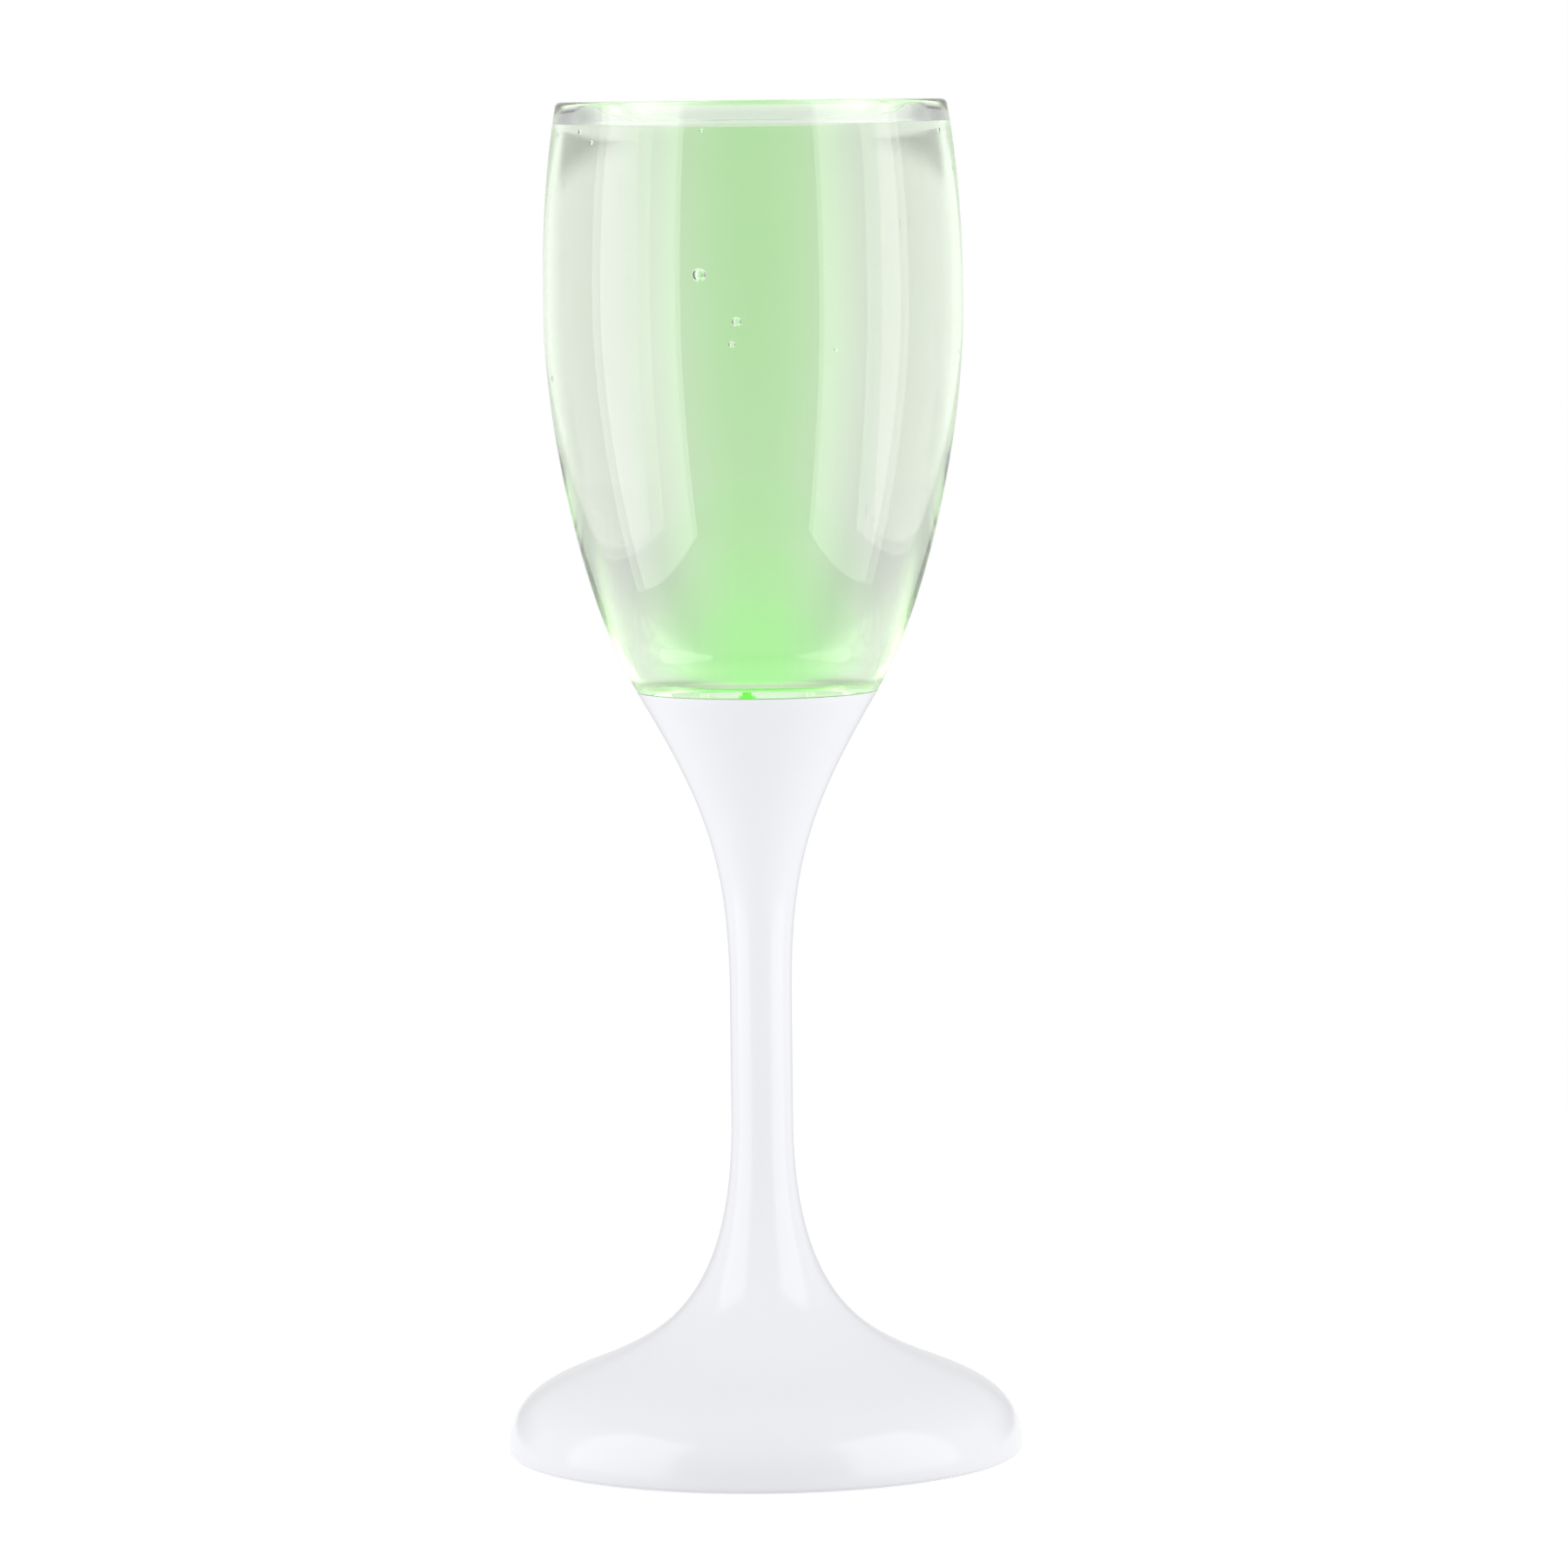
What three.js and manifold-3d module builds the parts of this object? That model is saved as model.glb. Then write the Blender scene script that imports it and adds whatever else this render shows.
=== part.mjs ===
// A light-up champagne flute: a clear bowl that screws into a white stem, a lamp under the bowl's floor,
// wires down the hollow stem, and cells, a board and a push button in the domed foot.
// Millimetres, +Z up, origin at the middle of the face that the foot rests on.

import * as THREE from 'three';
import { mergeVertices } from 'three/addons/utils/BufferGeometryUtils.js';
import Module from 'manifold-3d';

const wasm = await Module();
wasm.setup();

// Outside form, from the rim down to the foot
const height = 210;
const rimRadius = 30.2;
const rimRound = 0.9;
const rimLean = 0.166; // inward run for each unit of rise at the rim
const bellyRadius = 32.4;
const bellyHeight = 178.6;
const seamRadius = 18.7;
const seamHeight = 119;
const seamFlare = 0.6; // outward run for each unit of rise at the seam
const waistRadius = 4.8;
const waistTop = 71.6;
const waistBottom = 52.7;
const haunchRadius = 22; // where the foot's hollow sweep turns into its round shoulder
const haunchHeight = 16.3;
const haunchSlope = 2.03; // inward run for each unit of rise at the haunch
const footRadius = 40;
const footEdgeHeight = 0.9;
const footEdgeRun = 2.4;

// How far the outline keeps to its direction on each side of a station before it bends
const rimPull = 10.2;
const bellyPullUp = 11;
const bellyPullDown = 19.6;
const seamPullUp = 14.9;
const seamPullDown = 20.4;
const waistPullUp = 20.6;
const waistPullDown = 25.9;
const haunchPullUp = 9.2;
const haunchPullDown = 9.9;
const footPull = 10.2;

// Fits
const clearance = 0.3; // round a piece that moves or slides in
const faceGap = 0.1; // between the bowl and the stem when the bowl is screwed home
const threadGap = 0.2; // round a screw in its hole

// Bowl and its seat in the stem
const bowlWall = 3;
const bowlFloor = 3;
const bowlFillet = 5;
const bowlSink = 1.2; // how far the bowl's foot stands below the seam, inside the cup's lip
const cupLip = 1.3; // wall of the stem's cup round the bowl's foot
const seatWidth = 7.5; // from the spigot out to the seam
const spigotLength = 6.8;
const spigotWall = 2;
const sealSection = 1.6;

// Lamp under the bowl's floor
const reflectorPlate = 1.2;
const reflectorSkirt = 3;
const reflectorWall = 1.2;
const dishClearance = 1.4; // below the bowl's floor
const lampBoardRadius = 7;
const lampBoardThickness = 1;
const ledRadius = 2.5;
const ledHeight = 8.6;
const ledFlangeRadius = 2.9;
const ledFlangeHeight = 1;
const ledLeadWidth = 0.5;
const ledLeadPitch = 1.27;
const ledLeadTail = 0.8; // below the board

// Stem and foot walls
const stemWall = 1.5;
const footWall = 2.2;
const footRim = 4.2; // the ring that the flute rests on, out to the foot's edge
const coverLedge = 3;
const funnelRadius = 5.4;
const funnelLength = 9;

// Wires in the stem
const wireDiameter = 1;
const lampPadRadius = 3.6;
const wireParting = 26; // where the wires leave the bore and part
const boardPadPitch = 2.4;
const boardPadRow = 7;

// Cover in the underside
const coverRecess = 1;
const coverThickness = 2;
const baseSealThickness = 1;

// Screws
const screwRadius = 1.1;
const screwHeadRadius = 2.1;
const screwHeadHeight = 1;
const coverScrewLength = 6.5;
const trayScrewLength = 5.6;
const bossRadius = 3.3; // and the half width of a tray ear
const bossInset = 0.9; // from the cavity's wall
const earSpace = 1.6; // between a tray ear and a cover boss

// Cells, their tray and their contacts
const cellRadius = 5.8;
const cellHeight = 5.4;
const cellCapRadius = 4.9;
const cellCapHeight = 0.5;
const pocketWall = 1.2;
const trayPlate = 1.6;
const contactThickness = 0.3;
const contactWidth = 4;
const contactReach = 3; // past the middle of a cell
const contactSpace = 3.3; // between the button and the pockets
const stakeRadius = 0.9;
const stakeHeadRadius = 1.5;
const stakeHeadHeight = 0.6;
const stakeRing = 9.4;

// Switching board
const boardThickness = 1.2;
const boardMargin = 0.8;
const chipWidth = 5;
const chipDepth = 4;
const chipHeight = 1.5;
const chipPlace = 6;
const resistorWidth = 2;
const resistorDepth = 1.25;
const resistorHeight = 0.5;
const resistorPitch = 2.4;
const resistorPlace = 7.2;

// Switch and push button
const switchSide = 6;
const switchHeight = 3.5;
const plungerRadius = 1.7;
const plungerReach = 1.5; // out of the switch
const plungerDepth = 1; // inside the switch
const buttonTravel = 0.6;
const buttonRadius = 4;
const buttonStand = 0.3; // out of the cover
const buttonDish = 0.35;
const buttonFlangeRadius = 5.6;
const buttonFlangeHeight = 0.9;
const buttonPostRadius = 2;

// Facets
const roundSides = 40;
const middleSides = 24;
const smallSides = 16;
const wireSides = 8;
const wireSteps = 14;

// Angles of the three cells and of the three screws between them
const turn = 2 * Math.PI;
const cellAngles = [turn / 4, turn * 7 / 12, turn * 11 / 12];
const screwAngles = cellAngles.map((angle) => angle + turn / 6);
const stakeAngles = [turn / 8, turn * 5 / 8];

// Heights that follow from the sizes, from the foot up
const coverTop = coverRecess + coverThickness;
const ledgeHeight = coverTop + baseSealThickness;
const cellBottom = coverTop + contactThickness;
const cellTop = cellBottom + cellHeight;
const plateBottom = cellTop + contactThickness;
const plateTop = plateBottom + trayPlate;
const boardTop = plateTop + boardThickness;
const switchBottom = plateTop - switchHeight;
const plungerBottom = switchBottom - plungerReach;
const bowlEdge = seamHeight + faceGap;
const bowlSeat = bowlEdge - bowlSink;
const stemSeat = bowlSeat - faceGap;
const spigotEnd = bowlSeat - spigotLength;
const socketFloor = spigotEnd - clearance - reflectorPlate;
const lampBoardTop = socketFloor - reflectorSkirt;
const lampBoardBottom = lampBoardTop - lampBoardThickness;
const funnelEnd = lampBoardBottom - funnelLength;

// Radii that follow from the sizes
const boreRadius = waistRadius - stemWall;
const spigotRadius = seamRadius - seatWidth;
const spigotBore = spigotRadius - spigotWall;
const socketRadius = spigotRadius + clearance;
const cupMouth = seamRadius - cupLip;
const bowlFootTop = cupMouth - clearance;
const bowlFootBottom = bowlFootTop - bowlSink * seamFlare;
const sealRing = spigotRadius + faceGap + sealSection / 2;
const recessRadius = footRadius - footRim;
const coverRadius = recessRadius - clearance;
const cavityRadius = recessRadius - coverLedge;
const pocketRadius = cellRadius + clearance;
const pocketOuter = pocketRadius + pocketWall;
const cellRing = buttonFlangeRadius + contactSpace + pocketOuter;
const positiveLeg = cellRing - pocketRadius + clearance;
const negativeLeg = buttonFlangeRadius + contactSpace / 2;
const boardRadius = positiveLeg + contactThickness + boardMargin;
const coverScrewRing = cavityRadius - bossRadius - bossInset;
const trayScrewRing = coverScrewRing - 2 * bossRadius - earSpace;

// Materials
function finish(color, roughness, metalness = 0) {
  return new THREE.MeshStandardMaterial({ color, roughness, metalness });
}

const clearPlastic = finish(0xdff0dc, 0.05);
clearPlastic.transparent = true;
clearPlastic.opacity = 0.35;
const clearSilicone = finish(0xe6ebe6, 0.4);
const whitePlastic = finish(0xeff0f4, 0.3);
const trayPlastic = finish(0xe2e3e6, 0.5);
const lampResin = finish(0xd4f2cf, 0.1);
const boardGreen = finish(0x1f6b3a, 0.5);
const steel = finish(0xc9ccd0, 0.3, 1);
const nickel = finish(0xbfc2c4, 0.35, 1);
const chipBlack = finish(0x1b1c1e, 0.5);
const sealGrey = finish(0x9ba0a4, 0.6);
const buttonPlastic = finish(0xd9dce2, 0.4);

// Keeps the positions only, welds the corners that meet and drops the triangles that have no area
function weld(geometry) {
  geometry.deleteAttribute('normal');
  geometry.deleteAttribute('uv');
  const welded = mergeVertices(geometry, 1e-4);
  const corners = Array.from(welded.index.array);
  const kept = [];
  for (let i = 0; i < corners.length; i += 3) {
    const [a, b, c] = corners.slice(i, i + 3);
    if (a !== b && b !== c && c !== a) kept.push(a, b, c);
  }
  welded.setIndex(kept);
  return welded;
}

// Turns an outline of [radius, height] points or vectors round the Z axis, listed upwards on its outer side
function revolve(outline, sides = roundSides) {
  const points = outline.map((point) => (point.isVector2 ? point : new THREE.Vector2(...point)));
  const geometry = new THREE.LatheGeometry(points, sides);
  geometry.rotateX(turn / 4);
  return weld(geometry);
}

function disc(radius, bottom, top, sides = roundSides) {
  return revolve([[0, bottom], [radius, bottom], [radius, top], [0, top]], sides);
}

function ring(inner, outer, bottom, top, sides = roundSides) {
  return revolve([[inner, bottom], [outer, bottom], [outer, top], [inner, top], [inner, bottom]], sides);
}

// A box by its lower and upper faces and its middle in plan
function block(width, depth, bottom, top, x = 0, y = 0) {
  const geometry = new THREE.BoxGeometry(width, depth, top - bottom);
  geometry.translate(x, y, (bottom + top) / 2);
  return weld(geometry);
}

// A flat outline raised from bottom to top
function plate(shape, bottom, top, sides = smallSides) {
  const options = { depth: top - bottom, bevelEnabled: false, curveSegments: sides / 4 };
  const geometry = new THREE.ExtrudeGeometry(shape, options);
  geometry.translate(0, 0, bottom);
  return weld(geometry);
}

// A round bar's outline: a straight stretch along X with a half circle at each end
function stadium(start, end, width) {
  const shape = new THREE.Shape();
  shape.moveTo(start, -width / 2);
  shape.lineTo(end, -width / 2);
  shape.absarc(end, 0, width / 2, -turn / 4, turn / 4);
  shape.lineTo(start, width / 2);
  shape.absarc(start, 0, width / 2, turn / 4, turn * 3 / 4);
  return shape;
}

function toSolid(geometry) {
  const vertProperties = new Float32Array(geometry.attributes.position.array);
  const triVerts = new Uint32Array(geometry.index.array);
  return new wasm.Manifold(new wasm.Mesh({ numProp: 3, vertProperties, triVerts }));
}

function toGeometry(solid) {
  const mesh = solid.getMesh();
  const geometry = new THREE.BufferGeometry();
  geometry.setAttribute('position', new THREE.BufferAttribute(mesh.vertProperties, 3));
  geometry.setIndex(new THREE.BufferAttribute(mesh.triVerts, 1));
  return geometry;
}

function join(...geometries) {
  return geometries.map(toSolid).reduce((whole, next) => whole.add(next));
}

function cut(solid, ...geometries) {
  return geometries.map(toSolid).reduce((left, tool) => left.subtract(tool), solid);
}

// Runs a copy of one shape at each of several angles round the Z axis, at a radius
function around(angles, radius, make) {
  return angles.map((angle) => make().translate(radius, 0, 0).rotateZ(angle));
}

// One bend of the outline, from a station to the next one up, leaving and arriving along given directions
function bend(start, startWay, startPull, end, endWay, endPull, steps) {
  const leave = start.clone().addScaledVector(startWay, startPull);
  const arrive = end.clone().addScaledVector(endWay, -endPull);
  return new THREE.CubicBezierCurve(start, leave, arrive, end).getPoints(steps);
}

// The same line moved towards the axis by a wall's thickness
function setBack(points, wall) {
  return points.map((point, i) => {
    const before = points[Math.max(i - 1, 0)];
    const after = points[Math.min(i + 1, points.length - 1)];
    const along = after.clone().sub(before).normalize();
    return new THREE.Vector2(point.x - along.y * wall, point.y + along.x * wall);
  });
}

// Part of an ellipse, from one angle to another
function corner(x, y, width, rise, from, to, steps) {
  return new THREE.EllipseCurve(x, y, width, rise, from, to, to < from).getPoints(steps);
}

const upward = new THREE.Vector2(0, 1);
const seamWay = new THREE.Vector2(seamFlare, 1).normalize();
const rimWay = new THREE.Vector2(-rimLean, 1).normalize();
const haunchWay = new THREE.Vector2(-haunchSlope, 1).normalize();

// Outer line of the bowl, from its edge at the seam up to where the rim starts to round over
function bowlLine() {
  const seat = new THREE.Vector2(seamRadius, bowlEdge);
  const belly = new THREE.Vector2(bellyRadius, bellyHeight);
  const rim = new THREE.Vector2(rimRadius, height - rimRound);
  const side = bend(seat, seamWay, seamPullUp, belly, upward, bellyPullDown, 10);
  const lip = bend(belly, upward, bellyPullUp, rim, rimWay, rimPull, 4);
  return [...side, ...lip.slice(1)];
}

// Outer lines of the foot and of the cup, on either side of the straight stretch of stem
function footLine() {
  const edge = new THREE.Vector2(footRadius, footEdgeHeight);
  const haunch = new THREE.Vector2(haunchRadius, haunchHeight);
  const waist = new THREE.Vector2(waistRadius, waistBottom);
  const shoulder = bend(edge, upward, footPull, haunch, haunchWay, haunchPullDown, 6);
  const sweep = bend(haunch, haunchWay, haunchPullUp, waist, upward, waistPullDown, 9);
  return [...shoulder, ...sweep.slice(1)];
}

function cupLine() {
  const waist = new THREE.Vector2(waistRadius, waistTop);
  const seam = new THREE.Vector2(seamRadius, seamHeight);
  return bend(waist, upward, waistPullUp, seam, seamWay, seamPullDown, 8);
}

// Clear cup with a round rim, a flat floor over the lamp, a tapered foot that sits inside the stem's lip
// and a hollow spigot that screws into the stem
function bowl() {
  const outer = bowlLine();
  const floorTop = bowlSeat + bowlFloor;
  const inner = setBack(outer, bowlWall).filter((point) => point.y > floorTop + bowlFillet);
  const lipOuter = outer[outer.length - 1];
  const lipInner = inner[inner.length - 1];
  const shoulder = lipOuter.x - rimRound;
  const inside = lipInner.x + rimRound;
  const innerEnd = inner[0];
  const floorEdge = new THREE.Vector2(innerEnd.x - bowlFillet, floorTop);
  const floorCorner = new THREE.Vector2(innerEnd.x - bowlFillet / 4, floorTop);
  const fillet = new THREE.QuadraticBezierCurve(innerEnd, floorCorner, floorEdge).getPoints(4);
  return revolve([
    [0, bowlSeat],
    [spigotBore, bowlSeat],
    [spigotBore, spigotEnd],
    [spigotRadius - clearance, spigotEnd],
    [spigotRadius, spigotEnd + clearance],
    [spigotRadius, bowlSeat],
    [bowlFootBottom, bowlSeat],
    [bowlFootTop, bowlEdge],
    ...outer,
    ...corner(shoulder, height - rimRound, rimRound, rimRound, 0, turn / 4, 3).slice(1),
    ...corner(inside, height - rimRound, rimRound, rimRound, turn / 4, turn / 2, 3),
    ...inner.slice(0, -1).reverse(),
    ...fillet.slice(1),
    [0, floorTop]
  ]);
}

// O-ring round the top of the spigot
function bowlSeal() {
  const middle = bowlSeat - faceGap - sealSection / 2;
  const section = new THREE.EllipseCurve(sealRing, middle, sealSection / 2, sealSection / 2, 0, turn);
  return revolve(section.getPoints(6));
}

// Cover bosses hang from the foot's ceiling down to the cover, tray bosses down to the tray's ears
function bosses() {
  const pillar = (bottom) => disc(bossRadius, bottom, wireParting, smallSides);
  const cover = around(screwAngles, coverScrewRing, () => pillar(coverTop));
  const tray = around(screwAngles, trayScrewRing, () => pillar(plateTop));
  return join(...cover, ...tray);
}

function bossHoles() {
  const holeRadius = screwRadius + threadGap;
  const coverScrewTip = coverRecess + screwHeadHeight + coverScrewLength + clearance;
  const trayScrewTip = plateBottom + trayScrewLength + clearance;
  const cover = around(screwAngles, coverScrewRing, () => disc(holeRadius, 0, coverScrewTip, smallSides / 2));
  const tray = around(screwAngles, trayScrewRing, () => disc(holeRadius, 0, trayScrewTip, smallSides / 2));
  return [...cover, ...tray];
}

// White moulding: the cup that holds the bowl, the hollow stem and the domed foot
function stemShell() {
  const foot = footLine();
  const edge = corner(footRadius - footEdgeRun, footEdgeHeight, footEdgeRun, footEdgeHeight, -turn / 4, 0, 3);
  const outside = toSolid(revolve([[0, 0], ...edge, ...foot.slice(1), ...cupLine(), [0, seamHeight]]));

  const ceiling = setBack(foot, footWall).filter((point) => point.x > boreRadius);
  const dome = revolve([[0, ceiling[0].y], ...ceiling, [0, ceiling[ceiling.length - 1].y]]);
  const well = disc(cavityRadius, ledgeHeight, waistBottom);
  const cavity = toSolid(dome).intersect(toSolid(well));
  const pillars = bosses().intersect(outside);

  const lipWell = revolve([
    [0, stemSeat],
    [cupMouth - bowlSink * seamFlare, stemSeat],
    [cupMouth, seamHeight],
    [cupMouth, height],
    [0, height]
  ]);
  const sealGroove = disc(sealRing + sealSection / 2 + clearance, stemSeat - sealSection - faceGap, height);
  const socket = disc(socketRadius, socketFloor, height);
  const lampPocket = disc(lampBoardRadius + clearance, lampBoardBottom, height);
  const funnel = revolve([
    [0, funnelEnd],
    [boreRadius, funnelEnd],
    [funnelRadius, lampBoardBottom],
    [0, lampBoardBottom]
  ]);
  const bore = disc(boreRadius, haunchHeight, funnelEnd);
  const coverSeat = disc(recessRadius, -clearance, ledgeHeight);

  const upper = cut(outside.subtract(cavity), lipWell, sealGroove, socket, lampPocket);
  const hollow = cut(upper, funnel, bore, coverSeat);
  return toGeometry(cut(hollow.add(pillars), ...bossHoles()));
}

// White dish round the lamp, on a plate that rests in the socket and a skirt that holds the lamp's board down
function ledReflector() {
  const plateRadius = spigotRadius;
  const plateTopHeight = socketFloor + reflectorPlate;
  const hole = ledFlangeRadius + clearance;
  const dishTop = bowlSeat - dishClearance;
  const dishRadius = spigotBore - clearance;
  return revolve([
    [hole, socketFloor],
    [lampBoardRadius - reflectorWall, socketFloor],
    [lampBoardRadius - reflectorWall, lampBoardTop],
    [lampBoardRadius, lampBoardTop],
    [lampBoardRadius, socketFloor],
    [plateRadius, socketFloor],
    [plateRadius, plateTopHeight],
    [hole + reflectorWall, plateTopHeight],
    [dishRadius, dishTop],
    [dishRadius - reflectorWall, dishTop],
    [hole, plateTopHeight],
    [hole, socketFloor]
  ], middleSides);
}

// Places of the lamp's four leads along X
const leadPlaces = [-1.5, -0.5, 0.5, 1.5].map((step) => step * ledLeadPitch);

// Round-topped lamp with a flange at its foot and four leads
function led() {
  const shoulder = lampBoardTop + ledHeight - ledRadius;
  const body = revolve([
    [0, lampBoardTop],
    [ledFlangeRadius, lampBoardTop],
    [ledFlangeRadius, lampBoardTop + ledFlangeHeight],
    [ledRadius, lampBoardTop + ledFlangeHeight],
    ...corner(0, shoulder, ledRadius, ledRadius, 0, turn / 4, 4)
  ], smallSides);
  const leadEnd = lampBoardBottom - ledLeadTail;
  const leadRoot = lampBoardTop + ledFlangeHeight / 2;
  const leads = leadPlaces.map((x) => block(ledLeadWidth, ledLeadWidth, leadEnd, leadRoot, x));
  return toGeometry(join(body, ...leads));
}

function ledBoard() {
  const holeWidth = ledLeadWidth + 2 * threadGap;
  const holes = leadPlaces.map((x) => block(holeWidth, holeWidth, 0, height, x));
  const blank = disc(lampBoardRadius, lampBoardBottom, lampBoardTop, smallSides);
  return toGeometry(cut(toSolid(blank), ...holes));
}

// Pads in a row on the board below: the two wires at the back of the bundle go to the outer ones
const boardPads = [1.5, -1.5, -0.5, 0.5];

// A bend between two upright runs that stand side by side
function sBend(start, end) {
  const middle = (start.z + end.z) / 2;
  const leave = start.clone().setZ(middle);
  const arrive = end.clone().setZ(middle);
  return new THREE.CubicBezierCurve3(start, leave, arrive, end);
}

// A wire from a pad under the lamp's board, down the bore in its corner of the bundle, to a pad in the foot
function wire(index) {
  const angle = turn / 8 + index * turn / 4;
  const bundle = (wireDiameter + clearance) / Math.SQRT2;
  const at = (radius, z) => new THREE.Vector3(radius * Math.cos(angle), radius * Math.sin(angle), z);
  const pad = new THREE.Vector3(boardPads[index] * boardPadPitch, -boardPadRow, boardTop + clearance);
  const route = new THREE.CurvePath();
  route.add(sBend(at(lampPadRadius, lampBoardBottom - clearance), at(bundle, funnelEnd)));
  route.add(new THREE.LineCurve3(at(bundle, funnelEnd), at(bundle, wireParting)));
  route.add(sBend(at(bundle, wireParting), pad));
  const section = new THREE.Shape();
  section.absarc(0, 0, wireDiameter / 2, 0, turn);
  const options = { steps: wireSteps, extrudePath: route, bevelEnabled: false, curveSegments: wireSides / 2 };
  return weld(new THREE.ExtrudeGeometry(section, options));
}

// Carrier for the cells: a plate with three open pockets below, three screw ears and two stakes for the board
function batteryTray() {
  const hub = disc(boardRadius + boardMargin, plateBottom, plateTop);
  const skirtEnd = cellBottom + clearance;
  const pockets = around(cellAngles, cellRing, () => disc(pocketOuter, skirtEnd, plateTop, middleSides));
  const ears = screwAngles.map((angle) => {
    return plate(stadium(0, trayScrewRing, 2 * bossRadius), plateBottom, plateTop).rotateZ(angle);
  });
  const stakeNeck = boardTop + clearance;
  const stakes = around(stakeAngles, stakeRing, () => revolve([
    [0, plateBottom],
    [stakeRadius, plateBottom],
    [stakeRadius, stakeNeck],
    [stakeHeadRadius, stakeNeck],
    [stakeRadius, stakeNeck + stakeHeadHeight],
    [0, stakeNeck + stakeHeadHeight]
  ], smallSides / 2));

  const wells = around(cellAngles, cellRing, () => disc(pocketRadius, 0, plateBottom, middleSides));
  const holes = around(screwAngles, trayScrewRing, () => {
    return disc(screwRadius + threadGap, 0, plateTop + clearance, smallSides / 2);
  });
  const windowSide = switchSide + 2 * clearance;
  const window = block(windowSide, windowSide, 0, height);
  const slotDepth = contactThickness + 2 * clearance;
  const slotWidth = contactWidth + 2 * clearance;
  const slots = [
    block(slotDepth, slotWidth, 0, height, positiveLeg + contactThickness / 2).rotateZ(cellAngles[0]),
    block(slotDepth, slotWidth, 0, height, negativeLeg + contactThickness / 2).rotateZ(cellAngles[2])
  ];
  const channelWidth = contactWidth + 2 * clearance;
  const channel = plate(linkOutline(channelWidth), cellTop - clearance, plateBottom).rotateZ(linkAngle(1, 2));
  const carrier = join(hub, ...pockets, ...ears, ...stakes);
  return toGeometry(cut(carrier, ...wells, ...holes, window, ...slots, channel));
}

// Button cell: a can with a smaller cap on its top
function cell() {
  return revolve([
    [0, 0],
    [cellRadius, 0],
    [cellRadius, cellHeight - cellCapHeight],
    [cellCapRadius, cellHeight - cellCapHeight],
    [cellCapRadius, cellHeight],
    [0, cellHeight]
  ], smallSides);
}

// A link lies across X at half the cells' distance from the middle, and reaches from one cell to the next
function linkOutline(width) {
  const half = cellRing * Math.sin(turn / 6);
  const away = cellRing * Math.cos(turn / 6);
  const points = stadium(-half, half, width).getPoints(smallSides / 4);
  return new THREE.Shape(points.map((point) => new THREE.Vector2(away - point.y, point.x)));
}

// Direction of the middle of the link between two cells
function linkAngle(first, second) {
  return (cellAngles[first] + cellAngles[second]) / 2;
}

function link(bottom) {
  return plate(linkOutline(contactWidth), bottom, bottom + contactThickness);
}

// A strip along X over or under a cell that turns up to the board at its inner end
function contactStrip(leg, bottom) {
  const outline = new THREE.Shape();
  outline.moveTo(leg, bottom);
  outline.lineTo(cellRing + contactReach, bottom);
  outline.lineTo(cellRing + contactReach, bottom + contactThickness);
  outline.lineTo(leg + contactThickness, bottom + contactThickness);
  outline.lineTo(leg + contactThickness, plateTop);
  outline.lineTo(leg, plateTop);
  const geometry = new THREE.ExtrudeGeometry(outline, { depth: contactWidth, bevelEnabled: false });
  geometry.translate(0, 0, -contactWidth / 2);
  geometry.rotateX(turn / 4);
  return weld(geometry);
}

function circuitBoard() {
  const holes = around(stakeAngles, stakeRing, () => {
    return disc(stakeRadius + clearance, 0, height, smallSides / 2);
  });
  return toGeometry(cut(toSolid(disc(boardRadius, plateTop, boardTop)), ...holes));
}

// Switch that hangs under the board, with a blind hole for its plunger
function tactSwitch() {
  const body = block(switchSide, switchSide, switchBottom, plateTop);
  const holeTop = switchBottom + plungerDepth + buttonTravel + clearance;
  return toGeometry(cut(toSolid(body), disc(plungerRadius + clearance, 0, holeTop, smallSides)));
}

function tactPlunger() {
  return disc(plungerRadius, plungerBottom, switchBottom + plungerDepth, smallSides);
}

// Cap with a dished face below, a flange that keeps it behind the cover and a post up to the switch
function pushButton() {
  const face = coverRecess - buttonStand;
  const flange = coverTop + clearance;
  const dish = bend(
    new THREE.Vector2(0, face + buttonDish),
    new THREE.Vector2(1, 0),
    buttonRadius / 2,
    new THREE.Vector2(buttonRadius - buttonDish, face),
    new THREE.Vector2(1, 0),
    buttonRadius / 4,
    3
  );
  return revolve([
    ...dish,
    [buttonRadius, face + buttonDish],
    [buttonRadius, flange],
    [buttonFlangeRadius, flange],
    [buttonFlangeRadius, flange + buttonFlangeHeight],
    [buttonPostRadius, flange + buttonFlangeHeight],
    [buttonPostRadius, plungerBottom],
    [0, plungerBottom]
  ], middleSides);
}

// Round plate set into the underside, with a hole for the button and three counterbored screw holes
function baseCover() {
  const blank = ring(buttonRadius + clearance, coverRadius, coverRecess, coverTop);
  const seats = around(screwAngles, coverScrewRing, () => {
    return disc(screwHeadRadius + clearance, 0, coverRecess + screwHeadHeight, smallSides);
  });
  const holes = around(screwAngles, coverScrewRing, () => {
    return disc(screwRadius + threadGap, 0, height, smallSides / 2);
  });
  return toGeometry(cut(toSolid(blank), ...seats, ...holes));
}

function baseSeal() {
  return ring(cavityRadius, coverRadius, coverTop, ledgeHeight);
}

// Pan-head screw that points up, with its seat under the head at zero height
function screw(length) {
  return revolve([
    [0, -screwHeadHeight],
    [screwHeadRadius * 0.8, -screwHeadHeight],
    [screwHeadRadius, -screwHeadHeight / 2],
    [screwHeadRadius, 0],
    [screwRadius, 0],
    [screwRadius, length - screwRadius],
    [0, length]
  ], smallSides / 2);
}

const flute = new THREE.Group();

function add(parent, name, geometry, material) {
  const mesh = new THREE.Mesh(geometry, material);
  mesh.name = name;
  parent.add(mesh);
  return mesh;
}

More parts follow.
